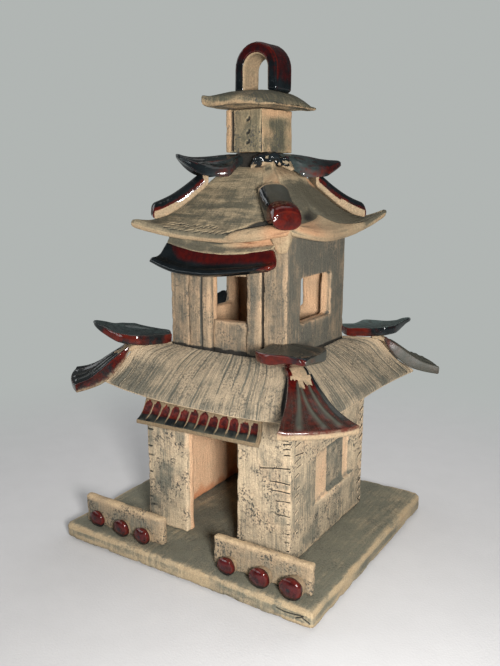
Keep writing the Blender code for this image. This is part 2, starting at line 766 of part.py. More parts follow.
def build():
    """Make every piece of the model from the plate up."""
    clear_scene()
    axis = tower_axis()
    base_plate()
    for side in PARAPETS:
        parapet(side)
        for number, place in enumerate(STUBS[side], start=1):
            stub(side, number, place)
    ground_front(axis)
    ground_back(axis)
    for side in (1, -1):
        ground_side(side, axis)
    door_canopy(axis)
    upper_floor(axis)
    for side in PANELS:
        skirt_panel(side, axis)
        roof_panel(side, axis)
    for name in CORNERS:
        fan(name, axis)
        leaf(name, "lower_leaf_" + name, LOWER_LEAF, 0.0185, 0.0055, 0.0036, axis)
        hip_bar(name, axis)
        broken = name == "front_right"
        piece_name = "broken_leaf_" + name if broken else "upper_leaf_" + name
        leaf(name, piece_name, UPPER_LEAF, 0.0170, 0.0052, -0.0060, axis, BROKEN_LEAF_KEPT if broken else 1.0)
    upper_front(axis)
    upper_walls(axis)
    window_awning(axis)
    top_pad(axis)
    third_storey(axis)
    cap_slab(axis)
    finial(axis)


build()
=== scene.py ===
"""Looks for the slab-built pagoda: stained stoneware walls and roofs, with ox-blood and blue-black glaze.

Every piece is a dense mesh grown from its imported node, or from the same curves, then pressed, nicked and scored
the way hand-built clay is. Units are metres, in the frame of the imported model.
"""

import itertools
import logging
import math
from collections.abc import Callable
from dataclasses import dataclass, field, replace
from enum import Enum
from functools import partial

import bpy
import numpy as np
from mathutils import Matrix, Vector


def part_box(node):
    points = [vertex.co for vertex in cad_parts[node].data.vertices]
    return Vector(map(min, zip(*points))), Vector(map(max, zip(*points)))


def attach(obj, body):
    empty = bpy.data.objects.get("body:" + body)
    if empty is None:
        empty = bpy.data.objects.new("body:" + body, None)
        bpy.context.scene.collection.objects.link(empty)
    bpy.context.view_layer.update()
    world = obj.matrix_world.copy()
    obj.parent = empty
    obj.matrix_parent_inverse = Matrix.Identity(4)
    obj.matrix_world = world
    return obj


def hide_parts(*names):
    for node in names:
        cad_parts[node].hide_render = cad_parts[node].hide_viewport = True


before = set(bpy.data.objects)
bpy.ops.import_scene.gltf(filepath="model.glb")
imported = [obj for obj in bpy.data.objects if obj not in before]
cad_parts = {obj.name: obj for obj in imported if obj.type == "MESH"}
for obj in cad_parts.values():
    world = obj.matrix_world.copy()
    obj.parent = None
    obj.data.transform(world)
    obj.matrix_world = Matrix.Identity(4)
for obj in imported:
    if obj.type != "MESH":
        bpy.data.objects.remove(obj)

LOG = logging.getLogger("pagoda")
MM = 0.001
AXIS = np.array([0.0060, -0.0023, 0.0])    # centre line of the tower on the plate
SKEW = 0.00205                             # half the difference between the tower's width and its depth
STILL = (0.0, 0.0, 0.0)                    # a node that isn't lengthened
FAR = 9.0                                  # farther than any point is from a tool line

Array = np.ndarray
Socket = bpy.types.NodeSocket
Pair = tuple[float, float]
Triple = tuple[float, float, float]
Colour = Triple
Line = list[Triple]
Knots = tuple[tuple[float, ...], ...]
Surface = Callable[[Array, Array, bool], Array]


class Side(Enum):
    """The four ways that a wall or a roof slab faces."""

    FRONT = (0, -1)
    RIGHT = (1, 0)
    BACK = (0, 1)
    LEFT = (-1, 0)


class Corner(Enum):
    """The four corners of a roof."""

    FRONT_RIGHT = (1, -1)
    BACK_RIGHT = (1, 1)
    BACK_LEFT = (-1, 1)
    FRONT_LEFT = (-1, -1)


class Slot(Enum):
    """The record's material slots."""

    CLAY = "clay"
    GLAZE = "glaze"


class Tier(Enum):
    """The two roofs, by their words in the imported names."""

    LOWER = "lower"
    UPPER = "upper"


class Mark(Enum):
    """What is painted or measured at the points of a form, for its finish to read."""

    U = "u"
    V = "v"
    UNDER = "under"
    ACROSS = "across"
    ALONG = "along"
    EDGE = "edge"
    HOLLOW = "hollow"
    # stain left in hollows and strokes, and painted shade where shade falls on a piece
    WASH = "wash"
    # bare clay, and painted light on the ledge at the top of the upper roof's right slab
    BARE = "bare"
    # cut lines, and painted shade: near black in crevices, gaps, joints, above the rolled lip and under the tower
    CUT = "cut"
    RUST = "rust"
    RAW = "raw"
    TONE = "tone"
    ASH = "ash"
    # painted sheen: a teal-grey reflection painted on the glaze
    MIST = "mist"


# Numbers and curves


def ease(value: Array, low: float | Array, high: float | Array) -> Array:
    """Smooth step from 0 at low to 1 at high, which may lie over low or under it."""
    share = np.clip((value - low) / (high - low), 0, 1)
    return share * share * (3 - 2 * share)


def bump(value: Array, centre: float | Array, width: float) -> Array:
    """Soft hump of height 1 round a centre."""
    return np.exp(-((value - centre) / width) ** 2)


def grain(points: Array, size: float | Triple, seed: int) -> Array:
    """Smooth random field from -1 to 1, the same on each run.

    Args:
        points: Places, one row of three numbers each.
        size: Size of the lumps, or one size for each direction.
        seed: Number of the field.

    Returns:
        One number for each place.
    """
    place = points / np.asarray(size) + seed * 7.31
    cell = np.floor(place).astype(np.int64)
    part = place - cell
    weight = part ** 3 * (part * (part * 6 - 15) + 10)
    total = np.zeros(len(points))
    for step in itertools.product((0, 1), repeat=3):
        knot = cell + np.array(step)
        code = knot[:, 0] * 73856093 ^ knot[:, 1] * 19349663 ^ knot[:, 2] * 83492791 ^ seed * 374761393
        code = ((code ^ (code >> 13)) * 1274126177) & 0x7FFFFFFF
        value = ((code ^ (code >> 15)) & 0xFFFF) / 32767.5 - 1
        total += value * np.prod(np.where(np.array(step) == 1, weight, 1 - weight), axis=1)
    return total


def ripple(seed: int, *axes: Array) -> Array:
    """Smooth random field over one to three coordinates that are counted in its own lumps."""
    return grain(np.stack([*axes, *[0 * axes[0]] * (3 - len(axes))], axis=-1), 1.0, seed)


def smooth_curve(knots: Knots, t: Array) -> Array:
    """Places on a smooth curve through evenly weighted knots.

    Args:
        knots: Points of the curve, with any number of coordinates.
        t: Shares of the way along it, from 0 to 1.

    Returns:
        One array for each coordinate.
    """
    points = np.array(knots, float)
    last = len(points) - 1
    place = np.clip(t, 0, 1) * last
    start = np.minimum(place.astype(int), last - 1)
    local = (place - start)[..., None]
    before, here = points[np.maximum(start - 1, 0)], points[start]
    after, beyond = points[start + 1], points[np.minimum(start + 2, last)]
    slope_in, slope_out = (after - before) / 2, (beyond - here) / 2
    square, cube = local ** 2, local ** 3
    value = (2 * cube - 3 * square + 1) * here + (cube - 2 * square + local) * slope_in
    value += (3 * square - 2 * cube) * after + (cube - square) * slope_out
    return np.moveaxis(value, -1, 0)


def spaced(count: int, close: float = 0.6) -> Array:
    """Shares from 0 to 1, in count steps that crowd towards both ends."""
    t = np.linspace(0, 1, count + 1)
    return t - close * np.sin(2 * math.pi * t) / (2 * math.pi)


def from_corner(corner: Corner, out: Array, across: Array, height: Array) -> Array:
    """Places given along and across the diagonal of a corner.

    Args:
        corner: The corner.
        out: Distance along the diagonal from the tower's centre line.
        across: Distance across it, to the left as seen looking outward.
        height: Height over the table.

    Returns:
        Points in the frame of the model.
    """
    side_x, side_y = corner.value
    root = math.sqrt(0.5)
    x = AXIS[0] + side_x * SKEW + root * (side_x * out - side_y * across)
    y = AXIS[1] - side_y * SKEW + root * (side_y * out + side_x * across)
    return np.stack([x, y, height], axis=-1)


def read(items: bpy.types.bpy_prop_collection, key: str, kind: type = float) -> Array:
    """Three numbers of each item of a mesh.

    Args:
        items: Its points or triangles.
        key: Name of the numbers.
        kind: Their type.

    Returns:
        One row for each item.
    """
    values = np.zeros(len(items) * 3, kind)
    items.foreach_get(key, values)
    return values.reshape(-1, 3)


# The clay forms


@dataclass
class Form:
    """A lump of clay: a closed mesh of triangles, with painted marks at its points."""

    name: str
    points: Array
    faces: Array
    marks: dict[Mark, Array] = field(default_factory=dict)

    @classmethod
    def from_nodes(cls, name: str, size: float, **nodes: Triple) -> "Form":
        """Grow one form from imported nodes, in voxels, so that its edges are soft and its faces even.

        Args:
            name: Name of the form.
            size: Size of a voxel.
            nodes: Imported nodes, each with how much it is lengthened in x, y and z to run into its neighbours.

        Returns:
            The form.
        """
        points, polygons = [], []
        for node, more in nodes.items():
            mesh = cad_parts[node].data
            place = read(mesh.vertices, "co")
            low, high = place.min(0), place.max(0)
            middle = (low + high) / 2
            first = sum(len(p) for p in points)
            points.append(middle + (place - middle) * (1 + np.array(more) / (high - low)))
            polygons += [[first + v for v in p.vertices] for p in mesh.polygons]
        blank = bpy.data.meshes.new(name + "_blank")
        blank.from_pydata(np.concatenate(points).tolist(), [], polygons)
        holder = bpy.data.objects.new(name + "_blank", blank)
        bpy.context.scene.collection.objects.link(holder)
        voxels = holder.modifiers.new("voxels", "REMESH")
        voxels.mode, voxels.voxel_size = "VOXEL", size
        shaped = holder.evaluated_get(bpy.context.evaluated_depsgraph_get()).to_mesh()
        shaped.calc_loop_triangles()
        form = cls(name, read(shaped.vertices, "co"), read(shaped.loop_triangles, "vertices", np.int32))
        bpy.data.objects.remove(holder, do_unlink=True)
        bpy.data.meshes.remove(blank)
        form.along(form.points[:, 0] + form.points[:, 1], form.points[:, 2])
        return form

    @classmethod
    def closed(cls, name: str, points: Array, quads: Array, caps: list[Array],
               marks: dict[Mark, Array]) -> "Form":
        """Make a form from squares and triangles, and turn its faces outward.

        Args:
            name: Name of the form.
            points: Its points.
            quads: Its squares.
            caps: Its triangles.
            marks: The marks at its points.

        Returns:
            The form.
        """
        faces = np.concatenate([quads[:, [0, 1, 2]], quads[:, [0, 2, 3]], *caps]).astype(np.int32)
        first, second, third = (points[faces[:, n]] for n in range(3))
        volume = np.einsum("ij,ij->i", first, np.cross(second, third)).sum()
        return cls(name, points, faces if volume > 0 else faces[:, ::-1], marks)

    @classmethod
    def slab(cls, name: str, surface: Surface, steps: tuple[int, int], edge: float) -> "Form":
        """Close a slab between its upper and lower surfaces, with rounded edges.

        Args:
            name: Name of the form.
            surface: Gives points from u, v and whether they lie underneath.
            steps: Number of steps across and along.
            edge: Radius of its edges.

        Returns:
            The form, with the marks u, v and under.
        """
        across, along = steps
        u, v = (a.ravel() for a in np.meshgrid(spaced(across), spaced(along), indexing="ij"))
        top, base = surface(u, v, False), surface(u, v, True)
        grid = top.reshape(across + 1, along + 1, 3)
        reach = []
        for way, start in enumerate(([(1, 0), (0, 0)], [(0, 0), (1, 0)])):
            gone = np.pad(np.cumsum(np.linalg.norm(np.diff(grid, axis=way), axis=2), axis=way), start)
            reach.append(np.minimum(gone, np.take(gone, [-1], axis=way) - gone))
        fade = np.clip(1 - np.minimum(*reach).ravel() / edge, 0, 1)
        thick = np.linalg.norm(top - base, axis=1)
        inset = (np.minimum(0.46, edge / np.maximum(thick, 1e-6)) * (1 - np.sqrt(1 - fade ** 2)))[:, None]
        points = np.concatenate([top + (base - top) * inset, base + (top - base) * inset])
        index = np.arange(len(top)).reshape(across + 1, along + 1)
        squares = np.stack([index[:-1, :-1], index[1:, :-1], index[1:, 1:], index[:-1, 1:]], axis=-1).reshape(-1, 4)
        rim = np.concatenate([index[:-1, 0], index[-1, :-1], index[:0:-1, -1], index[0, :0:-1]])
        after, half = np.roll(rim, -1), len(top)
        band = np.stack([after, rim, rim + half, after + half], axis=1)
        marks = {Mark.U: np.tile(u, 2), Mark.V: np.tile(v, 2), Mark.UNDER: np.repeat([0.0, 1.0], half)}
        return cls.closed(name, points, np.concatenate([squares, squares[:, ::-1] + half, band]), [], marks)

    @property
    def sheet(self) -> tuple[Array, Array, Array]:
        """The marks u, v and under of a slab."""
        return self.marks[Mark.U], self.marks[Mark.V], self.marks[Mark.UNDER]

    def along(self, across: Array, along: Array) -> None:
        """Say which way brush strokes and comb lines run, by distances across and along them."""
        self.marks[Mark.ACROSS], self.marks[Mark.ALONG] = across, along

    def sides(self) -> Array:
        """The two ends of each side of the triangles."""
        return np.concatenate([self.faces[:, [0, 1]], self.faces[:, [1, 2]], self.faces[:, [2, 0]]])

    def finer(self, lines: list[Line], reach: float, rounds: int) -> None:
        """Split the triangles near some lines, so that fine tool marks can be pressed there.

        Args:
            lines: Points of each line, in millimetres from the tower's centre line.
            reach: How far from the lines the triangles are split.
            rounds: How many times they are split.
        """
        for _ in range(rounds):
            near = self.away(lines) < reach
            edges, index = np.unique(np.sort(self.sides(), axis=1), axis=0, return_inverse=True)
            split = near[edges].all(axis=1)
            middle = np.full(len(edges), -1)
            middle[split] = len(self.points) + np.arange(split.sum())
            self.points = np.concatenate([self.points, self.points[edges[split]].mean(axis=1)])
            self.marks = {mark: np.concatenate([values, values[edges[split]].mean(axis=1)])
                          for mark, values in self.marks.items()}
            corners, halves = self.faces, middle[index.ravel()].reshape(3, -1).T
            count = (halves >= 0).sum(axis=1)
            made = [corners[count == 0]]
            for turn in range(3):
                (a, b, c), (ab, bc, ca) = np.roll(corners, -turn, axis=1).T, np.roll(halves, -turn, axis=1).T
                one, two = (count == 1) & (ab >= 0), (count == 2) & (ca < 0)
                for chosen, parts in ((one, ((a, ab, c), (ab, b, c))), (two, ((ab, b, bc), (a, ab, c), (ab, bc, c)))):
                    made += [np.stack(part, axis=1)[chosen] for part in parts]
            (a, b, c), (ab, bc, ca), whole = corners.T, halves.T, count == 3
            made += [np.stack(part, axis=1)[whole] for part in ((a, ab, ca), (ab, b, bc), (ca, bc, c), (ab, bc, ca))]
            self.faces = np.concatenate(made).astype(np.int32)

    def away(self, lines: list[Line]) -> Array:
        """Distance of each point from the nearest of some lines.

        Args:
            lines: Points of each line, in millimetres from the tower's centre line.

        Returns:
            One distance for each point, at most FAR.
        """
        near = np.full(len(self.points), FAR)
        for line in lines:
            knots = np.array(line) * MM + AXIS
            for start, end in zip(knots, knots[1:]):
                way = end - start
                share = np.clip((self.points - start) @ way / max(way @ way, 1e-12), 0, 1)
                near = np.minimum(near, np.linalg.norm(self.points - start - share[:, None] * way, axis=1))
        return near

    def grain(self, size: float | Triple, seed: int) -> Array:
        """Smooth random field over the form."""
        return grain(self.points, size, seed)

    def normals(self) -> Array:
        """Outward directions at the points.

        Returns:
            One row for each point.
        """
        a, b, c = (self.points[self.faces[:, n]] for n in range(3))
        flat = np.cross(b - a, c - a)
        whole = [np.bincount(self.faces.ravel(), np.repeat(flat[:, n], 3), len(self.points)) for n in range(3)]
        total = np.stack(whole, axis=1)
        return total / np.maximum(np.linalg.norm(total, axis=1, keepdims=True), 1e-12)

    def relaxed(self, rounds: int) -> Array:
        """The points, each moved to its neighbours' mean a few times.

        Args:
            rounds: How many times each point takes its neighbours' mean.

        Returns:
            The moved points.
        """
        pairs = self.sides()
        here, there = np.concatenate([pairs, pairs[:, ::-1]]).T
        total = len(self.points)
        count = np.maximum(np.bincount(here, minlength=total), 1)
        spread = self.points
        for _ in range(rounds):
            spread = np.stack([np.bincount(here, column[there], total) / count for column in spread.T], axis=1)
        return spread

    def push(self, amount: Array) -> None:
        """Move the surface outward by an amount for each point, inward where it is negative."""
        self.points = self.points + self.normals() * amount[:, None]

    def weather(self, swell: float, dent: float, seed: int, nick: float = 0.0) -> None:
        """Give the even surface the swells, dents and nicked edges of hand-rolled clay.

        Args:
            swell: Height of broad swells.
            dent: Height of finger-sized dents.
            seed: Number of the random field.
            nick: Depth of the nicks along the edges.
        """
        small = self.grain(0.0065, seed + 1) * dent + self.grain(0.0028, seed + 2) * dent * 0.5
        self.push(self.grain(0.030, seed) * swell + small)
        if nick:
            sharp = np.clip(-self.bend(5), 0, 1)
            chips = ease(self.grain(0.0042, seed + 3), 0.0, 0.8)
            self.push(-nick * sharp * (0.35 + chips))

    def bend(self, rounds: int) -> Array:
        """How much each point lies in a hollow, or under zero on an edge, after so many rounds of smoothing."""
        return ((self.relaxed(rounds) - self.points) * self.normals()).sum(1) / (0.35 * MM)

    def score(self, lines: list[Line], width: float, depth: float) -> None:
        """Press tool lines into the surface and mark the cut, which is painted near black: stain in it and painted
        shade.

        Args:
            lines: Points of each line, in millimetres from the tower's centre line.
            width: Half width of the tool's mark.
            depth: Its depth.
        """
        press = ease(self.away(lines), width, 0.15 * width)
        self.paint(Mark.CUT, press)
        self.push(-depth * press)

    def paint(self, mark: Mark, values: Array) -> None:
        """Keep the larger of a mark and new values for it."""
        self.marks[mark] = np.maximum(self.marks.get(mark, np.zeros(len(self.points))), np.clip(values, 0, 1))

    def wear(self) -> None:
        """Mark the worn edges and the hollows of the final surface."""
        self.marks[Mark.EDGE] = np.clip(-self.bend(3) * 1.6, 0, 1)
        self.marks[Mark.HOLLOW] = np.clip(self.bend(5) * 1.3, 0, 1)


# Finishes


class Recipe:
    """Builds the nodes of one finish."""

    def __init__(self, name: str) -> None:
        """Start from a bare Principled shader.

        Args:
            name: Name of the finish.
        """
        self.material = bpy.data.materials.new(name)
        self.material.use_nodes = True
        self.tree = self.material.node_tree
        self.shader = self.tree.nodes["Principled BSDF"]
        self.place = self.node("TexCoord").outputs["Object"]

    def node(self, kind: str, inputs: dict[str | int, Socket | float | Colour] | None = None,
             **settings: str) -> bpy.types.Node:
        """Add a node.

        Args:
            kind: Its type, without the words ShaderNode.
            inputs: What goes into its sockets, by name or number.
            settings: Its settings.

        Returns:
            The node.
        """
        node = self.tree.nodes.new("ShaderNode" + kind)
        for name, value in settings.items():
            setattr(node, name, value)
        self.feed(node, inputs or {})
        return node

    def feed(self, node: bpy.types.Node, inputs: dict[str | int, Socket | float | Colour]) -> None:
        """Link a node's sockets, or set their values.

        Args:
            node: The node.
            inputs: What goes into its sockets, by name or number.
        """
        for key, value in inputs.items():
            socket = node.inputs[key]
            if isinstance(value, Socket):
                self.tree.links.new(value, socket)
            elif isinstance(value, tuple):
                socket.default_value = (*value, 1.0)[:len(socket.default_value)]
            else:
                socket.default_value = value

    def noise(self, size: float, detail: float = 3.0, place: Socket | None = None) -> Socket:
        """Random mottling around 0.5, in spots of a size, read at the object's own place if none is given."""
        inputs = {"Scale": 1 / size, "Detail": detail, "Roughness": 0.6, "Vector": place or self.place}
        return self.node("TexNoise", inputs).outputs[0]

    def maths(self, operation: str, *values: Socket | float) -> Socket:
        """One sum on values or sockets."""
        return self.node("Math", dict(enumerate(values)), operation=operation).outputs[0]

    def total(self, start: float, *terms: tuple[Socket, float]) -> Socket:
        """Weighted sum that starts from a number, held between 0 and 1.

        Args:
            start: The number.
            terms: Sockets and their weights.

        Returns:
            The sum.
        """
        value: Socket | float = start
        for socket, weight in terms:
            value = self.maths("MULTIPLY_ADD", socket, weight, value)
        return self.step(value, 0.0, 1.0, "LINEAR")

    def step(self, value: Socket, low: float, high: float, kind: str = "SMOOTHSTEP") -> Socket:
        """Map a value to 0 at low and 1 at high."""
        inputs = {"From Min": low, "From Max": high, "Value": value}
        return self.node("MapRange", inputs, interpolation_type=kind).outputs[0]

    def blend(self, share: Socket, first: Socket | Colour, second: Socket | Colour) -> Socket:
        """Mix two colours."""
        return self.node("Mix", {0: share, 6: first, 7: second}, data_type="RGBA").outputs[2]

    def between(self, share: Socket, first: Socket | float, second: Socket | float) -> Socket:
        """Mix two numbers."""
        return self.node("Mix", {0: share, 2: first, 3: second}).outputs[0]

    def sanded(self, colour: Socket | Colour, size: float, low: float, high: float) -> Socket:
        """A colour with grains of a size, by the factor low at the darkest and high at the lightest."""
        factor = self.between(self.step(self.noise(size, 2.0), 0.30, 0.70), low, high)
        return self.node("VectorMath", {0: colour, "Scale": factor}, operation="SCALE").outputs[0]

    def mark(self, mark: Mark) -> Socket:
        """A mark painted on the piece."""
        return self.node("Attribute", attribute_name=mark.value).outputs["Fac"]

    def strokes(self, across: float, along: float, seed: float) -> Socket:
        """Streaks that run along the piece's grain.

        Args:
            across: Width of a streak.
            along: Its length.
            seed: Where the pattern is read.

        Returns:
            Its value, around 0.5.
        """
        wide, long = self.maths("MULTIPLY", self.mark(Mark.ACROSS), 1 / across), self.mark(Mark.ALONG)
        place = self.node("CombineXYZ", {0: wide, 1: self.maths("MULTIPLY", long, 1 / along), 2: seed})
        return self.noise(1.0, 2.0, place.outputs[0])

    def relief(self, *layers: tuple[Socket, float]) -> None:
        """Small bumps over the whole surface, from heights and their depths in metres.

        Args:
            layers: Each height and its depth.
        """
        inputs: dict[str | int, Socket | float] = {}
        for height, depth in layers:
            inputs = {**inputs, "Distance": depth, "Height": height}
            inputs = {"Normal": self.node("Bump", inputs).outputs[0]}
        self.feed(self.shader, inputs)


@dataclass(frozen=True)
class ClayFinish:
    """Cream stoneware with a grey-green stain left in its hollows and strokes, and painted shade and painted light
    where a piece marks them.
    """

    name: str
    cream: Colour = (0.54, 0.425, 0.285)
    # stain colour, also painted as shade where a piece marks shade
    stain: Colour = (0.135, 0.130, 0.100)
    # bare clay colour, also painted as light where a piece marks light
    bare: Colour = (0.60, 0.375, 0.225)
    crumb: Colour = (0.060, 0.056, 0.047)
    # near black: cut lines, and painted shade in crevices, gaps and joints
    cut: Colour = (0.014, 0.012, 0.009)
    rust: Colour = (0.52, 0.17, 0.06)
    stained: float = 0.30
    cloud: float = 1.1
    streak: float = 0.9
    streak_size: Pair = (0.0011, 0.016)
    speckle: float = 0.5
    sheen: float = 0.35
    slot: Slot = Slot.CLAY

    def material(self) -> bpy.types.Material:
        """Make the material.

        Returns:
            The material.
        """
        recipe = Recipe(self.name)
        cloud, patch, crust = recipe.noise(0.030), recipe.noise(0.0085, 4.0), recipe.noise(0.013)
        fine, pits = recipe.noise(0.0010, 2.0), recipe.noise(0.0012, 2.0)
        streak = recipe.strokes(*self.streak_size, 3.7)
        # the bare mark also carries painted light, and the stain-and-shade mark painted shade
        bare = recipe.mark(Mark.BARE)
        edge = recipe.maths("MULTIPLY", recipe.mark(Mark.EDGE), recipe.step(patch, 0.30, 0.62))
        warm = recipe.total(-0.60, (recipe.noise(0.014, 2.0), 1.2), (edge, 0.2), (bare, 1.0))
        stained = recipe.total(
            self.stained - (self.cloud + 0.8 + self.streak + 0.3) / 2,
            (cloud, self.cloud), (patch, 0.8), (streak, self.streak), (fine, 0.3), (recipe.mark(Mark.HOLLOW), 0.75),
            (edge, -0.55), (recipe.mark(Mark.WASH), 0.6), (bare, -1.1))
        crumbs = recipe.maths("MULTIPLY", recipe.step(pits, 0.50, 0.62), recipe.step(crust, 0.40, 0.62))
        crumbs = recipe.total(0.0, (crumbs, self.speckle * 1.7), (bare, -0.8))
        colour = recipe.blend(warm, self.cream, self.bare)
        colour = recipe.blend(recipe.step(stained, 0.06, 0.94), colour, self.stain)
        colour = recipe.sanded(recipe.blend(crumbs, colour, self.crumb), 0.0007, 0.82, 1.14)
        # near black where the cut-and-shade mark is painted: cut lines and painted shade
        colour = recipe.blend(recipe.step(recipe.mark(Mark.CUT), 0.15, 0.9), colour, self.cut)
        colour = recipe.blend(recipe.mark(Mark.RUST), colour, self.rust)
        rough = recipe.between(fine, 0.70, 0.92)
        recipe.feed(recipe.shader, {"Base Color": colour, "Roughness": rough, "Specular IOR Level": self.sheen})
        recipe.relief((patch, 0.0005), (streak, 0.00035 * self.streak), (fine, 0.00036), (pits, 0.00034))
        return recipe.material


@dataclass(frozen=True)
class GlazeFinish:
    """Ox-blood glaze that breaks to blue-black, with bare clay where it was wiped off, and a painted teal-grey sheen
    where a piece marks it.
    """

    name: str
    blood: Colour = (0.058, 0.0042, 0.003)
    dark_blood: Colour = (0.020, 0.0025, 0.003)
    bright_blood: Colour = (0.13, 0.018, 0.009)
    night: Colour = (0.0035, 0.005, 0.006)
    blue_night: Colour = (0.008, 0.011, 0.013)
    ash: Colour = (0.062, 0.056, 0.040)
    dark_ash: Colour = (0.036, 0.040, 0.033)
    # teal-grey painted reflection, laid over the glaze where marked
    mist: Colour = (0.080, 0.108, 0.104)
    bare: Colour = (0.33, 0.232, 0.142)
    stain: Colour = (0.17, 0.145, 0.095)
    cut: Colour = (0.045, 0.040, 0.032)
    gloss: float = 0.07
    sheen: float = 0.35
    mottle: float = 1.0
    slot: Slot = Slot.GLAZE

    def material(self) -> bpy.types.Material:
        """Make the material.

        Returns:
            The material.
        """
        recipe = Recipe(self.name)
        cloud, patch, fine = recipe.noise(0.011), recipe.noise(0.0032), recipe.noise(0.0009, 2.0)
        streak, edge = recipe.strokes(0.0013, 0.012, 5.1), recipe.mark(Mark.EDGE)
        mottle, spread = 0.5 * self.mottle, 0.13 / self.mottle
        tone = recipe.total(-0.85 * self.mottle, (recipe.mark(Mark.TONE), 1.0), (cloud, 0.7 * self.mottle),
                            (patch, mottle), (streak, mottle), (edge, -0.25))
        blood = recipe.blend(recipe.step(patch, 0.49 - spread, 0.49 + spread), self.blood, self.dark_blood)
        blood = recipe.blend(recipe.total(-0.20, (edge, 0.4), (fine, 0.3)), blood, self.bright_blood)
        night = recipe.blend(recipe.step(cloud, 0.35, 0.70), self.night, self.blue_night)
        ash = recipe.total(-0.50, (recipe.mark(Mark.ASH), 1.25), (streak, 0.5), (fine, 0.3))
        # painted sheen: a mottled teal-grey reflection painted over the glaze
        mist = recipe.maths("MULTIPLY", recipe.mark(Mark.MIST), recipe.step(patch, 0.20, 0.60))
        glaze = recipe.blend(recipe.step(tone, 0.25, 0.75), blood, night)
        glaze = recipe.blend(ash, glaze, recipe.blend(patch, self.ash, self.dark_ash))
        glaze = recipe.blend(mist, glaze, self.mist)
        stained = recipe.total(-0.95, (patch, 1.6), (streak, 0.8), (recipe.mark(Mark.HOLLOW), 0.5))
        clay = recipe.blend(stained, recipe.sanded(self.bare, 0.0010, 0.75, 1.2), self.stain)
        clay = recipe.blend(recipe.mark(Mark.CUT), clay, self.cut)
        wiped = recipe.step(recipe.total(-0.85, (recipe.mark(Mark.RAW), 1.7), (patch, 0.7), (fine, 0.3)), 0.2, 0.8)
        rough = recipe.between(ash, recipe.between(patch, self.gloss * 0.6, self.gloss * 2.2), 0.62)
        recipe.feed(recipe.shader, {
            "Base Color": recipe.blend(wiped, glaze, clay), "Roughness": recipe.between(wiped, rough, 0.85),
            "Specular IOR Level": self.sheen})
        recipe.relief((cloud, 0.0004), (patch, 0.00014), (streak, 0.00007), (fine, 0.00002))
        return recipe.material


WALL = ClayFinish("wall_clay", cream=(0.52, 0.405, 0.270), bare=(0.72, 0.455, 0.275), stained=0.36, speckle=0.6)
UPPER_WALL = ClayFinish("upper_wall_clay", cream=(0.30, 0.215, 0.135), stain=(0.088, 0.082, 0.064),
                        bare=(0.56, 0.350, 0.205), stained=0.49, streak_size=(0.0014, 0.022))
PLATE = ClayFinish("plate_clay", cream=(0.38, 0.300, 0.190), stain=(0.140, 0.135, 0.100), bare=(0.36, 0.265, 0.155),
                   stained=0.72, speckle=0.3, streak_size=(0.0016, 0.030))
PARAPET = ClayFinish("parapet_clay", cream=(0.31, 0.230, 0.146), bare=(0.46, 0.335, 0.200), stained=0.32, speckle=0.8)
THATCH = ClayFinish("combed_roof_clay", cream=(0.37, 0.290, 0.195), stain=(0.110, 0.104, 0.080),
                    bare=(0.44, 0.330, 0.215), stained=0.44, streak=1.3, streak_size=(0.0008, 0.030), speckle=0.4)
SWEPT = ClayFinish("swept_roof_clay", cream=(0.335, 0.262, 0.163), stain=(0.088, 0.079, 0.054),
                   bare=(0.29, 0.200, 0.118), stained=0.52, streak=1.0, streak_size=(0.0022, 0.024), speckle=0.3)
CROWN = ClayFinish("crown_clay", cream=(0.24, 0.190, 0.113), stain=(0.068, 0.065, 0.043), bare=(0.42, 0.260, 0.145),
                   stained=0.48, speckle=0.6)
GLOSS = GlazeFinish("ox_blood_glaze")
BAND = GlazeFinish("door_band_glaze", blood=(0.105, 0.012, 0.007), ash=(0.078, 0.076, 0.058),
                   bare=(0.20, 0.140, 0.083), gloss=0.26, sheen=0.14, mottle=0.7)
AWNING = GlazeFinish("awning_glaze", sheen=0.30, mottle=0.4)
ARCH = GlazeFinish("arch_glaze", blood=(0.040, 0.0030, 0.003), sheen=0.14, mottle=0.8)
BUTTON = GlazeFinish("button_glaze", blood=(0.052, 0.006, 0.008), gloss=0.05)


@dataclass
class Kiln:
    """Turns forms into finished pieces that ride on the model's body."""

    materials: dict[str, bpy.types.Material] = field(default_factory=dict)
    triangles: int = 0

    def fire(self, form: Form, finish: ClayFinish | GlazeFinish, *nodes: str) -> None:
        """Make a piece from a form, dress it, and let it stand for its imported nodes.

        Args:
            form: The shaped clay.
            finish: What it is dressed with.
            nodes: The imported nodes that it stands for.
        """
        form.wear()
        mesh = bpy.data.meshes.new(form.name)
        mesh.vertices.add(len(form.points))
        mesh.vertices.foreach_set("co", form.points.astype(np.float32).ravel())
        mesh.loops.add(form.faces.size)
        mesh.loops.foreach_set("vertex_index", form.faces.ravel())
        mesh.polygons.add(len(form.faces))
        mesh.polygons.foreach_set("loop_start", np.arange(0, form.faces.size, 3, dtype=np.int32))
        mesh.update(calc_edges=True)
        for mark, values in form.marks.items():
            layer = mesh.attributes.new(mark.value, "FLOAT", "POINT")
            layer.data.foreach_set("value", np.asarray(values, np.float32))
        mesh.shade_smooth()
        if finish.name not in self.materials:
            self.materials[finish.name] = finish.material()
        mesh.materials.append(self.materials[finish.name])
        piece = bpy.data.objects.new(form.name, mesh)
        bpy.context.scene.collection.objects.link(piece)
        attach(piece, "root")
        if nodes:
            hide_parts(*nodes)
        self.triangles += len(form.faces)
        LOG.info("%s: %d triangles, %s", form.name, len(form.faces), finish.name)


# Base plate, parapets and stubs


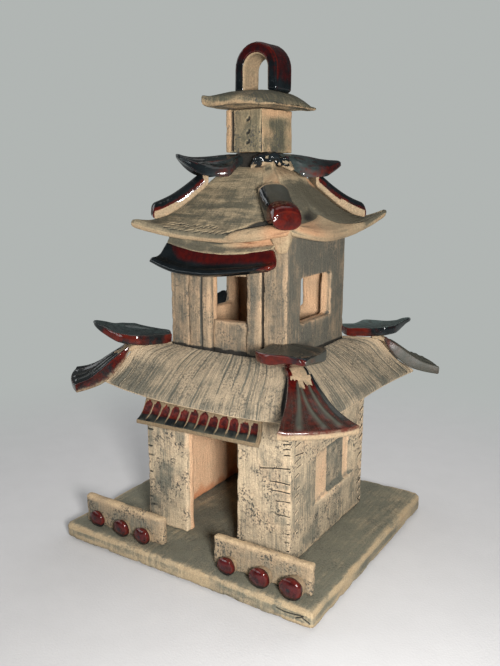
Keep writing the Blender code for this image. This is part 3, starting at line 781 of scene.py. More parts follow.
@dataclass
class Forecourt:
    """The base plate with its two parapets and six glazed coil ends."""

    kiln: Kiln
    top: float = 0.0099
    voxel: float = 1.4 * MM
    parapet_voxel: float = 0.8 * MM
    worn: float = 0.0045
    plate_half: Pair = (0.0883, 0.0819)
    parapets: dict[Side, tuple[float, int]] = field(
        default_factory=lambda: {Side.LEFT: (0.0179, 20), Side.RIGHT: (0.0185, 25)})
    dome: float = 0.0034
    dome_share: float = 0.42
    rings: int = 26
    turns: int = 56

    def plate(self) -> None:
        """The ground slab: smeared top, laminated sides, worn rim and a crack near the front corner."""
        crack: list[Line] = [[(60.8, -79.6, 6.2), (65.6, -79.6, 5.4), (71.0, -79.6, 5.9), (76.7, -79.6, 6.6)],
                             [(72.4, -79.6, 4.2), (75.6, -79.6, 5.8), (80.4, -79.6, 3.8)]]
        form = Form.from_nodes("base_plate_clay", self.voxel, base_plate=STILL)
        form.finer(crack, 3 * MM, 2)
        flat = np.abs(form.normals()[:, 2])
        layers = form.grain((0.030, 0.030, 0.0016), 11)
        form.push(layers * 0.35 * MM * (1 - flat))
        form.weather(0.25 * MM, 0.14 * MM, 12, nick=0.5 * MM)
        form.score(crack, 0.6 * MM, 0.7 * MM)
        form.points[:, 2] = np.maximum(form.points[:, 2], 0.0)
        rim = (np.abs(form.points[:, :2]) - self.plate_half).max(axis=1) + self.worn
        up = form.points[:, 2] > self.top - 0.0025
        form.paint(Mark.BARE, ease(rim, 0.0, self.worn) * up * (0.4 + 0.4 * form.grain(0.008, 14)))
        form.paint(Mark.BARE, (1 - flat) * ease(layers, -0.3, 0.9) * 0.55)
        form.paint(Mark.WASH, flat * (0.5 + 0.5 * form.grain((0.012, 0.05, 0.05), 15)) * 0.5)
        form.along(form.points[:, 0], form.points[:, 1])
        self.kiln.fire(form, PLATE, "base_plate")

    def parapet(self, side: Side, height: float, seed: int) -> None:
        """A low speckled slab with worn cream edges.

        Args:
            side: Which one.
            height: How tall it is.
            seed: Number of the random field.
        """
        node = "parapet_" + side.name.lower()
        form = Form.from_nodes(node + "_clay", self.parapet_voxel, **{node: STILL})
        form.weather(0.35 * MM, 0.16 * MM, seed, nick=0.5 * MM)
        top = self.top + height
        rim = ease(form.points[:, 2], top - 0.0028, top - 0.0004)
        form.paint(Mark.BARE, rim * (0.6 + 0.4 * form.grain(0.006, seed + 5)))
        form.paint(Mark.WASH, ease(form.grain(0.010, seed + 6), 0.1, 0.8) * 0.6)
        self.kiln.fire(form, PARAPET, node)

    def stub(self, node: str, seed: int) -> None:
        """A coil end: a domed pool of red glaze on a cream body that tapers and sinks to the back.

        Args:
            node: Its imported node.
            seed: Number of the random field.
        """
        low, high = (np.array(v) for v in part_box(node))
        middle, radius, length = (low + high) / 2, (high[2] - low[2]) / 2, high[1] - low[1]
        t = np.linspace(0, 1, self.rings)
        domed, arc = t < self.dome_share, t / self.dome_share * math.pi / 2
        out = np.where(domed, np.maximum(0.04, np.sin(arc)), 1.0) * radius
        body = self.dome + (t - self.dome_share) / (1 - self.dome_share) * (length - self.dome)
        deep = np.where(domed, self.dome * (1 - np.cos(arc)), body)
        deep = deep - 0.25 * 0.0011 * bump(out / radius, 0.86, 0.10) * domed
        ring, turn = np.repeat(out, self.turns), np.tile(np.arange(self.turns) * math.tau / self.turns, self.rings)
        reach = ring * (1 + 0.02 * np.sin(3 * turn + seed) + 0.015 * np.sin(5 * turn + 2 * seed))
        y = low[1] + np.repeat(deep, self.turns)
        shape = np.stack([middle[0] + reach * np.cos(turn), y, middle[2] + reach * np.sin(turn)], axis=1)
        shape = np.concatenate([shape, [[middle[0], high[1], middle[2]], [middle[0], low[1], middle[2]]]])
        back = (shape[:, 1] - low[1]) / length
        taper = np.stack([1.12 - 0.22 * back, np.ones(len(back)), 1.08 - 0.18 * back], axis=1)
        shape = middle + (shape - middle) * taper - np.outer(back, (0, 0, 0.0014))
        shape[:, 2] = np.maximum(shape[:, 2], low[2])
        index = np.arange(self.rings * self.turns).reshape(self.rings, self.turns)
        after, first_cap, last_cap = np.roll(index, -1, axis=1), np.full(self.turns, index.size + 1), index.size
        quads = np.stack([index[:-1], index[1:], after[1:], after[:-1]], axis=-1).reshape(-1, 4)
        caps = [np.stack([index[-1], np.full(self.turns, last_cap), after[-1]], axis=1),
                np.stack([after[0], first_cap, index[0]], axis=1)]
        form = Form.closed(node + "_glazed", shape, quads, caps, {})
        ring = np.append(ring, [0.0, 0.0]) / radius
        foot = 0.5 - (form.points[:, 2] - middle[2]) / (2 * radius)
        form.paint(Mark.RAW, np.append(np.repeat(ease(t, 0.45, 0.56), self.turns), [1.0, 0.0]))
        dark = 0.8 * ease(foot, 0.62, 0.95) + 0.45 * bump(ring, 0.0, 0.3) + 0.35 * ease(ring, 0.8, 0.97)
        form.paint(Mark.TONE, 0.16 + dark)
        form.along(form.points[:, 0], form.points[:, 2])
        self.kiln.fire(form, BUTTON, node)

    def build(self) -> None:
        """Make every piece of the forecourt."""
        self.plate()
        for side, (height, seed) in self.parapets.items():
            self.parapet(side, height, seed)
            for number in (1, 2, 3):
                self.stub(f"stub_{side.name.lower()}_{number}", 30 + 7 * number + len(side.name))


# Ground storey


@dataclass
class Storey:
    """Walls on one plan, weathered outside."""

    kiln: Kiln
    half: Pair

    def inside(self, form: Form) -> Array:
        """How far each point lies inside the outer faces of the walls."""
        return (self.half - np.abs(form.points - AXIS)[:, :2]).min(axis=1)


@dataclass
class GroundStorey(Storey):
    """The walls round the doorway, scored at their corners, with a blind window folded in each side."""

    half: Pair = (0.05135, 0.0488)
    window: Pair = (-0.0180, 0.0300)
    pane: Pair = (0.0003, 0.0237)
    window_heights: Pair = (0.0362, 0.0672)
    voxel: float = 1.0 * MM
    plain_voxel: float = 1.6 * MM
    front_marks: Knots = (
        (46.1, 84.8, 86.4), (46.1, 82.5, 83.5), (46.2, 79.6, 80.5), (46.8, 76.3, 77.0), (31.5, 65.6, 69.3),
        (38.1, 59.4, 60.0), (38.8, 54.2, 54.9), (42.1, 48.4, 49.5), (41.6, 40.4, 40.8), (49.4, 35.9, 36.0),
        (49.5, 29.8, 30.0), (48.2, 24.6, 25.0), (49.4, 19.5, 19.8))
    side_marks: Knots = (
        (-43.7, -35.7, 84.0, 85.2), (-43.8, -38.0, 80.6, 81.4), (-43.4, -34.0, 75.4, 73.9),
        (-44.0, -38.4, 71.0, 71.9), (-41.0, -36.0, 67.4, 67.9), (-43.6, -38.8, 62.6, 63.6),
        (-41.6, -38.0, 54.7, 55.3), (-43.6, -39.2, 50.4, 51.4), (-42.4, -39.0, 45.8, 47.4),
        (-43.8, -40.2, 40.6, 41.8), (-43.4, -40.0, 35.2, 36.4), (-43.8, -41.0, 28.8, 29.6))

    def front_ticks(self) -> list[Line]:
        """Lines scored into the front face beside its right corner.

        Returns:
            One line for each mark.
        """
        y = -self.half[1] / MM
        return [[(x, y, z), ((x + 51.4) / 2, y, (z + top) / 2 + 0.3), (51.4, y, top)]
                for x, z, top in self.front_marks]

    def side_ticks(self) -> list[Line]:
        """Lines scored into the right face beside its front corner."""
        x = self.half[0] / MM
        return [[(x, start, low), (x, end, high)] for start, end, low, high in self.side_marks]

    def back_notches(self) -> list[Line]:
        """Notches in the right face at its back corner."""
        x = self.half[0] / MM
        return [[(x, 43.2 - 0.6 * (n % 3), 13.7 + 6.3 * n), (x, 48.9, 16.0 + 6.3 * n)] for n in range(14)]

    def gouges(self) -> list[Line]:
        """Slanted gouges low at the right face's back corner."""
        x = self.half[0] / MM
        return [[(x, 45.0 + n, 14.0 - n), (x, 47.6 + n, 10.4)] for n in range(4)]

    def left_pier_ticks(self) -> list[Line]:
        """Shallow nicks at the front left corner."""
        y = -self.half[1] / MM
        return [[(-51.4, y, 22 + 5.6 * n), (-46.5 - 1.2 * (n % 3), y, 22.3 + 5.6 * n)] for n in range(11)]

    def dress(self, form: Form, seed: int) -> None:
        """Weather a wall and leave its reveals and its inside bare, and rusty at the foot.

        Args:
            form: The wall.
            seed: Number of the random field.
        """
        form.weather(0.26 * MM, 0.13 * MM, seed, nick=0.35 * MM)
        inside = self.inside(form)
        low = form.points[:, 2] + 0.004 * form.grain(0.006, seed + 7)
        form.paint(Mark.BARE, ease(inside, 0.0022, 0.0036))
        form.paint(Mark.RUST, ease(inside, 0.0060, 0.0070) * ease(low, 0.0200, 0.0115) * 0.7)

    def build(self) -> None:
        """The front with the right wall as one shell, and the back with the left wall as another."""
        nodes = {"door_pier_left": STILL, "door_pier_right": STILL, "door_lintel": (0.0016, 0, 0),
                 "ground_right_wall": (0, 0.0165, 0)}
        form = Form.from_nodes("front_and_right_wall_clay", self.voxel, **nodes)
        side_lines = self.side_ticks() + self.back_notches() + self.gouges()
        form.finer(self.front_ticks() + side_lines, 1.6 * MM, 2)
        self.dress(form, 41)
        form.score(self.front_ticks(), 0.55 * MM, 0.55 * MM)
        form.score(side_lines, 0.60 * MM, 0.60 * MM)
        form.score(self.back_notches(), 0.95 * MM, 0.70 * MM)
        form.score(self.left_pier_ticks(), 0.8 * MM, 0.30 * MM)
        self.fold(form)
        x, y = form.normals()[:, :2].T
        form.paint(Mark.WASH, ease(-y, 0.5, 0.9) * ease(form.grain((0.016, 0.016, 0.022), 45), 0.05, 0.7) * 0.55)
        form.paint(Mark.WASH, ease(x, 0.5, 0.9) * (0.22 + 0.30 * form.grain((0.01, 0.02, 0.012), 46)))
        self.kiln.fire(form, WALL, *nodes)
        nodes = {"ground_back_wall": (-0.0012, 0, 0), "ground_left_wall": (0, 0.002, 0)}
        form = Form.from_nodes("back_and_left_wall_clay", self.plain_voxel, **nodes)
        self.dress(form, 51)
        self.kiln.fire(form, WALL, *nodes)

    def fold(self, form: Form) -> None:
        """Paint the right wall's blind window: bare folds beside a stained pane.

        Args:
            form: The wall.
        """
        x, y, z = (form.points - AXIS).T
        (near, far), (sill, head) = self.window, self.window_heights
        within = (y > near) & (y < far) & (z > sill) & (z < head)
        panel = ease(x, self.half[0] - 0.0045, self.half[0] - 0.0030) * within
        folds = panel * ((y < self.pane[0]) | (y > self.pane[1]))
        form.marks[Mark.BARE] = np.where(panel > 0.2, folds * 0.55, form.marks[Mark.BARE])
        form.paint(Mark.WASH, (panel - folds) * 0.5)


@dataclass
class DoorBand:
    """The flared band over the doorway, with scooped red drops between thin bare ridges."""

    kiln: Kiln
    ends: Pair = (-0.0490, 0.0375)
    section: Knots = (
        (-0.0492, 0.1010), (-0.0506, 0.0945), (-0.0532, 0.0885), (-0.0562, 0.0842), (-0.0600, 0.0812))
    depth: float = 0.024
    thickness: float = 0.0042
    rise: float = 0.0030
    drops: int = 12
    drop_top: float = 0.35
    steps: tuple[int, int] = (250, 40)

    def surface(self, u: Array, v: Array, under: bool) -> Array:
        """The band's outer or inner surface.

        Args:
            u: Shares of the way along it.
            v: Shares of the way down it.
            under: True for the inner one.

        Returns:
            Points.
        """
        y, z = smooth_curve(self.section, v)
        left, right = self.ends
        x = left + (right - left) * u + 0.0035 * (1 - v) * (1 - 2 * u)
        z = z + self.rise * u * v
        if under:
            return np.stack([x, y, z - 0.0022 * v], axis=-1) + AXIS
        return np.stack([x, y - self.thickness * (1 - 0.55 * v) + 0.0016 * v, z + 0.0012], axis=-1) + AXIS

    def build(self) -> None:
        """Shape and paint the band."""
        form = Form.slab("door_canopy_glazed", self.surface, self.steps, 1.1 * MM)
        u, v, under = form.sheet
        column = self.drops * u + 0.15 * (v - 0.5)
        number = np.floor(column)
        each = number * 3.1
        top = self.drop_top + 0.035 * ripple(61, each) + 0.03 * ripple(62, u * 160)
        half = 0.44 * np.sqrt(np.clip((v - top) / 0.10, 0, 1))
        drop = ease(half - np.abs(column - number - 0.5), -0.01, 0.05) * (1 - under)
        flare = ease(v, 0.66 + 0.05 * ripple(66, each), 0.80) * (1 - under)
        ridge = (1 - drop) * (1 - ease(v, 0.70, 0.95) * 0.55)
        form.push(-0.55 * MM * drop * (1 - flare * 0.7) * ease(v, 1.0, 0.85))
        form.weather(0.15 * MM, 0.08 * MM, 63)
        lip = ease(v, 0.955, 0.985) * (0.75 + 0.25 * form.grain(0.006, 64))
        for bare in (ridge, lip, ease(u, 0.968, 0.988), under):
            form.paint(Mark.RAW, bare)
        form.paint(Mark.TONE, 0.05 + flare * 0.9 + 0.35 * ease(ripple(65, each), -0.2, 0.9) * drop)
        form.paint(Mark.ASH, flare * (1 - 0.5 * ridge) * (0.45 + 0.5 * form.grain(0.004, 67)))
        form.along(u * (self.ends[1] - self.ends[0]), v * self.depth)
        self.kiln.fire(form, BAND, "door_canopy")


# Roofs


@dataclass
class SlabRoof:
    """Four clay slabs that meet at hips, with the comb and brush marks of one storey's roof."""

    kiln: Kiln
    tier: Tier
    finish: ClayFinish
    hip: Knots
    middle: Knots
    wall: Pair
    eave: Pair
    thickness: Pair
    bulge: float
    tips: dict[Corner, Triple]
    wall_skew: float
    comb: float
    steps: dict[Side, tuple[int, int]]

    def surface(self, side: Side, u: Array, v: Array, under: bool = False) -> Array:
        """One slab's upper or lower surface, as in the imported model.

        Args:
            side: Which way the slab faces.
            u: Shares of the way across it.
            v: Shares of the way down it.
            under: True for the lower surface.

        Returns:
            Points.
        """
        out = np.array([*side.value, 0.0])
        way = np.array([-out[1], out[0], 0.0])
        sideways = side.value[0] != 0
        skew = SKEW if sideways else -SKEW
        wall, eave = (pair[0 if sideways else 1] for pair in (self.wall, self.eave))
        wall = wall + self.wall_skew * skew
        across = 2 * u - 1
        share = np.abs(across) ** self.bulge
        reach, height = smooth_curve(self.middle, v)
        half, hip_height = smooth_curve(self.hip, v)
        for end in (1, -1):
            corner = Corner((int(out[0] + end * way[0]), int(out[1] + end * way[1])))
            more, up, power = self.tips.get(corner, (0.0, 0.0, 1.0))
            here = across * end > 0
            half = half + here * more * v ** power
            hip_height = hip_height + here * up * v ** power
        distance = (1 - share) * (wall + (eave - wall) * reach) + share * (half + skew)
        level = (1 - share) * height + share * hip_height
        if under:
            level = level - self.thickness[0] - (self.thickness[1] - self.thickness[0]) * v
        width = (half - skew - 0.0003) * across
        return distance[..., None] * out + width[..., None] * way + level[..., None] * np.array([0, 0, 1.0]) + AXIS

    def slab(self, side: Side) -> Form:
        """One slab with its comb lines, facing one way.

        Args:
            side: Which way it faces.

        Returns:
            The slab, before what only this roof has.
        """
        name = f"{self.tier.value}_roof_{side.name.lower()}_clay"
        form = Form.slab(name, partial(self.surface, side), self.steps[side], 1.9 * MM)
        u, v, under = form.sheet
        width, length = 2 * self.eave[0], float(np.hypot(*np.subtract(self.eave, self.wall)))
        across, along = (u - 0.5) * width * (0.86 + 0.14 * v), v * length * 1.3
        form.along(across, along)
        seed = 70 + 10 * list(Side).index(side)
        thin, wide = ripple(seed, across / 0.0008, along / 0.045), ripple(seed + 1, across / 0.0024, along / 0.10)
        lines = (thin * 0.8 + wide * 0.4) * (1 - under)
        deep = self.comb / (0.2 * MM)
        form.push(lines * self.comb)
        form.paint(Mark.WASH, ease(-lines, 0.15, 0.75) * deep)
        form.paint(Mark.CUT, ease(-lines, 0.55, 1.0) * 0.75 * deep)
        form.weather(0.25 * MM, 0.10 * MM, seed + 2, nick=0.25 * MM)
        return form

    def build(self) -> None:
        """Make the four slabs."""
        for side in Side:
            form = self.slab(side)
            self.mark(side, form)
            self.kiln.fire(form, self.finish, f"{self.tier.value}_roof_{side.name.lower()}")

    def mark(self, side: Side, form: Form) -> None:
        """Paint what only this roof has; each storey's roof has its own."""


@dataclass
class LowerRoof(SlabRoof):
    """The combed skirt round the second storey."""

    def mark(self, side: Side, form: Form) -> None:
        """Stain the eave, paint shade along the top where the slab meets the wall, and bare the ends beside the hips;
        the front slab also gets painted shade in the crevice beside the fan.

        Args:
            side: Which way it faces.
            form: The slab.
        """
        u, v, under = form.sheet
        form.paint(Mark.WASH, ease(v, 0.78, 0.95) * 0.7 * (0.5 + 0.5 * form.grain(0.009, 111)))
        # painted shade: darker along the top, where the slab meets the wall
        form.paint(Mark.WASH, ease(v, 0.10, 0.0) * 0.6)
        form.paint(Mark.BARE, ease(np.abs(2 * u - 1), 0.86, 0.97) * 0.6)
        form.paint(Mark.BARE, under * 0.8)
        if side is Side.FRONT:
            # painted shade: near black in the crevice between the front slab and the fan
            edge = 0.945 - 0.045 * ease(v, 0.2, 0.9)
            form.paint(Mark.CUT, ease(u, edge - 0.010, edge) * ease(v, 0.18, 0.28))


@dataclass
class UpperRoof(SlabRoof):
    """The hollow-curved roof of the second storey, brushed from side to side."""

    lip_crest: Knots = ((0.58, 1.0), (0.64, 0.94), (0.76, 0.88), (0.885, 0.82), (1.0, 0.80))
    ledge_crest: Knots = ((0.0, 0.84), (0.10, 0.80), (0.30, 0.75), (0.45, 0.71), (0.525, 0.67), (0.64, 0.82),
                          (0.76, 0.93), (0.92, 1.0))

    def on_front(self, *places: Pair) -> Line:
        """A line on the front slab, from places across and down it, in millimetres from the tower's centre line."""
        return [tuple(point) for point in (self.surface(Side.FRONT, *np.array(places).T) - AXIS) / MM]

    def slab(self, side: Side) -> Form:
        """One slab, with finer clay where the front one is scored.

        Args:
            side: Which way it faces.

        Returns:
            The slab, before its marks.
        """
        form = super().slab(side)
        if side is Side.FRONT:
            form.finer(self.ticks() + self.tears(), 1.8 * MM, 1)
        return form

    def ticks(self) -> list[Line]:
        """Two rows of slanted nail marks over the front eave.

        Returns:
            One short line for each mark.
        """
        upper = [(0.17 + 0.034 * n, 0.858 + 0.012 * math.sin(2.3 * n), 0.5 + 0.5 * (n % 3 == 1)) for n in range(10)]
        lower = [(0.20 + 0.047 * n, 0.955 + 0.010 * math.sin(1.7 * n), 0.6 + 0.4 * (n % 2)) for n in range(10)]
        return [self.on_front((u - 0.014 * size, v + 0.030 * size), (u, v), (u + 0.018 * size, v - 0.024 * size))
                for u, v, size in upper + lower]

    def tears(self) -> list[Line]:
        """The crack over the rolled lip at the front corner, the crevice beside the glazed block, and a gash.

        Returns:
            The three lines.
        """
        crack = ((0.60, 0.950), (0.64, 0.915), (0.70, 0.890), (0.76, 0.862), (0.83, 0.815), (0.885, 0.80))
        # the crevice beside the glazed block is painted near black with its cut: painted shade
        crevice = ((0.832, 0.30), (0.846, 0.46), (0.862, 0.62), (0.885, 0.78))
        gash = ((0.750, 0.985), (0.780, 0.960))
        return [self.on_front(*places) for places in (crack, crevice, gash)]

    def mark(self, side: Side, form: Form) -> None:
        """Brush marks across the slope, and what was pressed and smeared into the front and right slabs.

        Args:
            side: Which way it faces.
            form: The slab.
        """
        u, v, under = form.sheet
        form.along(form.marks[Mark.ALONG], form.marks[Mark.ACROSS])
        brushed = ripple(121, v * 22, u * 4)
        form.push(brushed * 0.12 * MM * (1 - under))
        form.paint(Mark.WASH, ease(-brushed, 0.0, 0.8) * 0.5)
        form.paint(Mark.WASH, ease(v, 0.95, 0.99) * (0.75 + 0.5 * form.grain(0.010, 127)))
        form.paint(Mark.BARE, under * 0.7)
        if side is Side.FRONT:
            self.roll(form)
        elif side is Side.RIGHT:
            self.scoop(form)

    def roll(self, form: Form) -> None:
        """The front slab's eave: a rolled lip with a crack over it, painted shade in the groove above the lip, nail
        marks and bare clay at the top.

        Args:
            form: The slab.
        """
        u, v, over = form.marks[Mark.U], form.marks[Mark.V], 1 - form.marks[Mark.UNDER]
        crest = np.interp(u, *zip(*self.lip_crest))
        lip = ease(v - crest, -0.01, 0.05) * (u > self.lip_crest[0][0])
        gap = bump(v, crest - 0.035, 0.030) * ease(u, 0.60, 0.70)
        form.push((1.3 * lip - (0.8 + 2.6 * ease(u, 0.66, 0.78)) * gap) * MM * over)
        form.score(self.ticks(), 0.85 * MM, 0.70 * MM)
        form.score(self.tears(), 1.45 * MM, 1.40 * MM)
        # painted shade: a near-black band in the groove above the lip
        wide = 0.022 + 0.028 * ease(u, 0.66, 0.80)
        band = np.exp(-((v - crest + 0.015 + wide) / wide) ** 4) * ease(u, 0.60, 0.67) * ease(u, 0.97, 0.93)
        form.paint(Mark.CUT, band * over)
        form.paint(Mark.BARE, lip * 0.8)
        form.paint(Mark.RUST, lip * ease(u, 0.80, 0.90) * 0.25)
        form.paint(Mark.BARE, ease(u, 0.35, 0.75) * ease(v, 0.20, 0.04) * 0.7)

    def scoop(self, form: Form) -> None:
        """The hollowed right slab: a scoop between a ledge and the smeared eave lip, with painted light on the ledge
        and painted shade below it and in the scoop.

        Args:
            form: The slab.
        """
        u, v, over = form.marks[Mark.U], form.marks[Mark.V], 1 - form.marks[Mark.UNDER]
        crest = np.interp(u, *zip(*self.ledge_crest))
        lip = ease(v - crest, -0.01, 0.04) * over
        pocket = bump(v, crest - 0.055, 0.06) * bump(u, 0.41, 0.15)
        crease = bump(v, crest - 0.02, 0.03) * ease(u, 0.45, 0.55)
        shelf = bump(v, 0.20, 0.09) * ease(u, 0.03, 0.15)
        knob = bump(v, 0.28, 0.05) * ease(u, 0.86, 0.96)
        form.push((1.1 * lip * ease(u, 0.9, 0.75) - 3.0 * pocket - 0.5 * crease + 0.9 * shelf) * MM * over)
        form.paint(Mark.BARE, lip * (0.55 + 0.3 * form.grain(0.006, 126)) * (1 - ease(u, 0.62, 0.85) * 0.7))
        form.paint(Mark.RUST, lip * ease(u, 0.50, 0.20) * 0.22)
        # painted shade: darker below the ledge, down to the lip
        form.paint(Mark.WASH, (1 - lip) * ease(v, 0.20, 0.38) * over)
        # painted shade: near black in the scoop and along the crease
        form.paint(Mark.CUT, np.maximum(pocket * 0.9, crease * 0.5) * (1 - lip) * over)
        # painted light: paler clay on the ledge at the top
        form.paint(Mark.BARE, ease(v, 0.27, 0.16) * over * 0.75)
        form.paint(Mark.BARE, np.maximum(knob, ease(u, 0.07, 0.03) * ease(v, 0.36, 0.30)) * over)
        form.paint(Mark.RUST, knob * 0.3 * over)
        form.marks[Mark.WASH] = form.marks[Mark.WASH] * (1 - knob)


@dataclass
class CornerClay:
    """Clay smeared over the front right hip of the upper roof, and from its eave down to the wall."""

    kiln: Kiln
    roof: UpperRoof
    thickness: float = 0.0030
    steps: tuple[int, int] = (60, 50)

    def hip(self, u: Array, v: Array, under: bool) -> Array:
        """The smear over the hip, from the broken leaf down to the glazed block.

        Args:
            u: Shares of the way across it.
            v: Shares of the way down it.
            under: True for its hidden side.

        Returns:
            Points.
        """
        side, down = 2 * u - 1, 0.40 * v
        spread = 0.25 - 0.06 * v
        front = self.roof.surface(Side.FRONT, 1 + spread * np.minimum(side, 0), down)
        right = self.roof.surface(Side.RIGHT, spread * np.maximum(side, 0), down)
        point = np.where((side < 0)[:, None], front, right)
        point[:, 2] += 0.0010 - 0.0017 * side ** 4 + 0.0024 * ease(v, 0.3, 0.0) * (1 - side ** 2)
        point[:, 2] += 0.0018 * bump(v, 0.84, 0.12) * bump(side, -0.15, 0.35) - self.thickness * under
        return point

    def eave(self, u: Array, v: Array, under: bool) -> Array:
        """The smear from the eave's corner down to the wall.

        Args:
            u: Shares of the way across it.
            v: Shares of the way down it.
            under: True for its hidden side.

        Returns:
            Points.
        """
        across = (-0.0110 + 0.0062 * v) * (1 - u) + 0.0035 * u
        away = np.sqrt(across ** 2 + 0.0015 ** 2) - 0.0015
        out = 0.0604 + (0.0537 - 0.0604) * v ** 0.7 - (0.62 + 0.35 * v) * away
        height = 0.2000 - 0.30 * away - 0.0150 * v * (1 - 0.5 * np.maximum(0.0, across / 0.0035))
        return from_corner(Corner.FRONT_RIGHT, out - self.thickness * under, across, height)

    def build(self) -> None:
        """Make both smears."""
        for name, surface, seed in (("hip_smear_clay", self.hip, 231), ("eave_smear_clay", self.eave, 236)):
            form = Form.slab(name, surface, self.steps, 1.0 * MM)
            u, v, _ = form.sheet
            form.weather(0.35 * MM, 0.42 * MM, seed)
            ridge = bump(u, 0.5, 0.14) if name.startswith("hip") else 0.6
            form.paint(Mark.BARE, 0.30 + 0.45 * ridge + 0.5 * form.grain(0.006, seed + 3))
            form.paint(Mark.WASH, ease(form.grain(0.005, seed + 5), 0.0, 0.7) * 0.4 * (1 - ridge))
            form.paint(Mark.RUST, ease(form.grain(0.007, seed + 4), 0.0, 0.8) * 0.25 * ridge)
            form.along(u * 0.014, v * 0.02)
            self.kiln.fire(form, SWEPT)


@dataclass
class Fans:
    """Four flared hip covers: red glaze between grey ribs, bare at the neck and along the foot."""

    kiln: Kiln
    top: Knots = (
        (0.0568, 0.1262), (0.0604, 0.1228), (0.0650, 0.1186), (0.0700, 0.1138), (0.0748, 0.1104), (0.0810, 0.1084))
    base: Knots = (
        (0.0562, 0.1236), (0.0589, 0.1178), (0.0630, 0.1118), (0.0684, 0.1067), (0.0745, 0.1044), (0.0806, 0.1036))
    neck_path: Knots = ((0.0505, 0.1284), (0.0538, 0.1277), (0.0568, 0.1257), (0.0592, 0.1233))
    widths: Pair = (0.0065, 0.0205)
    neck_half: float = 0.0057
    rib_height: float = 1.1 * MM
    rib_paths: Knots = ((-0.36, -0.50, 0.16), (-0.18, 0.16, 0.24), (0.34, 0.58, 0.22))
    rib_width: float = 0.085
    fine_steps: tuple[int, int] = (96, 52)
    plain_steps: tuple[int, int] = (66, 40)
    neck_steps: tuple[int, int] = (34, 28)
    feet: dict[Corner, Pair] = field(
        default_factory=lambda: {Corner.FRONT_RIGHT: (0.0014, 0.0), Corner.BACK_RIGHT: (0.0, -0.0006)})

    def surface(self, corner: Corner, u: Array, v: Array, under: bool) -> Array:
        """A fan's upper or lower surface.

        Args:
            corner: Where it lies.
            u: Shares of the way across it.
            v: Shares of the way down it.
            under: True for the lower surface.

        Returns:
            Points.
        """
        out, up = self.feet.get(corner, (0.0, 0.0))
        half, height = smooth_curve(self.base if under else self.top, v)
        side = 2 * u - 1
        half = half + out * v ** 3 - 0.0022 * v * side * side
        width = side * (self.widths[0] + (self.widths[1] - self.widths[0]) * v ** 1.6)
        return from_corner(corner, half * math.sqrt(2), width, height + up * v ** 3)

    def ribs(self, side: Array, v: Array) -> Array:
        """How much each place lies on one of the three ribs, from 0 to 1.

        Args:
            side: Places across the fan, from -1 to 1.
            v: Shares of the way down it.

        Returns:
            0 to 1 for each place.
        """
        total = np.zeros(len(v))
        for start, end, head in self.rib_paths:
            centre = start + (end - start) * ease(v, head, 1.0)
            total = np.maximum(total, bump(side, centre, self.rib_width) * ease(v, head - 0.05, head + 0.08))
        return total

    def fan(self, corner: Corner) -> None:
        """Shape and paint one fan; the front right one is seen from close by.

        Args:
            corner: Where it lies.
        """
        name = "fan_" + corner.name.lower()
        front, back = corner is Corner.FRONT_RIGHT, corner is Corner.BACK_RIGHT
        steps = self.fine_steps if front else self.plain_steps
        form = Form.slab(name + "_glazed", partial(self.surface, corner), steps, 1.0 * MM)
        u, v, under = form.sheet
        side = 2 * u - 1
        rib = self.ribs(side, v) * (1 - under) * ease(v, 0.97, 0.90)
        panel = ease(np.abs(side), 0.80, 0.98) * 0.6
        form.points[:, 2] += (self.rib_height * (rib + panel) - 0.35 * MM) * (1 - under)
        form.weather(0.15 * MM, 0.07 * MM, 131 + corner.value[0] + 2 * corner.value[1])
        neck = 0.12 + 0.16 * (np.abs(side + 0.10) < 0.18) + 0.12 * ease(side, 0.05, 0.3) * ease(side, 0.72, 0.6)
        neck = neck + 0.05 * ripple(137, side * 9)
        form.paint(Mark.RAW, ease(v, neck + 0.03, neck - 0.03) * ease(np.abs(side), 0.84, 0.76))
        if front:
            form.paint(Mark.RAW, under * (0.5 + 0.5 * ease(v, 0.90, 0.99)) + 0.38 * ease(v, 0.975, 0.99))
            form.paint(Mark.TONE, 0.26 + ease(side, 0.72, 0.84) * 0.7 * ease(v, 0.95, 0.75))
            form.paint(Mark.ASH, rib * 0.8 + 0.30 * ease(v, 0.1, 0.5))
        else:
            form.paint(Mark.RAW, under * (0.0 if back else 0.5))
            form.paint(Mark.TONE, 0.9 - 0.5 * ease(np.abs(side), 0.82, 0.97) * (1 - v))
            form.paint(Mark.ASH, rib * 0.25 + (0.30 + 0.45 * ease(v, 0.10, 0.45) if back else 0.10))
        form.along(side * 0.02, v * 0.036)
        self.kiln.fire(form, GLOSS, name)

    def neck_surface(self, corner: Corner, u: Array, v: Array, under: bool) -> Array:
        """The clay that runs from a fan up under its leaf.

        Args:
            corner: Where it lies.
            u: Shares of the way across it.
            v: Shares of the way down it.
            under: True for its hidden side.

        Returns:
            Points.
        """
        half, height = smooth_curve(self.neck_path, v)
        side = 2 * u - 1
        height = height - 0.0010 * side ** 2 - 0.0030 * under
        return from_corner(corner, half * math.sqrt(2), side * self.neck_half, height)

    def neck(self, corner: Corner) -> None:
        """Shape and paint the clay at one fan's neck.

        Args:
            corner: Where it lies.
        """
        name = f"fan_neck_{corner.name.lower()}_clay"
        form = Form.slab(name, partial(self.neck_surface, corner), self.neck_steps, 0.9 * MM)
        form.weather(0.25 * MM, 0.20 * MM, 138)
        u, v, _ = form.sheet
        side = 2 * u - 1
        if corner is Corner.FRONT_RIGHT:
            form.paint(Mark.RAW, 0.8 * ease(np.abs(side) + 0.08 * form.grain(0.006, 139), 0.80, 0.55))
            form.paint(Mark.TONE, 0.35 + 0.6 * ease(side, 0.3, 0.6))
        else:
            form.paint(Mark.RAW, 0.95 + 0 * side)
            form.paint(Mark.TONE, 0.80 + 0 * side)
        form.along(side * 0.006, v * 0.012)
        self.kiln.fire(form, GLOSS)

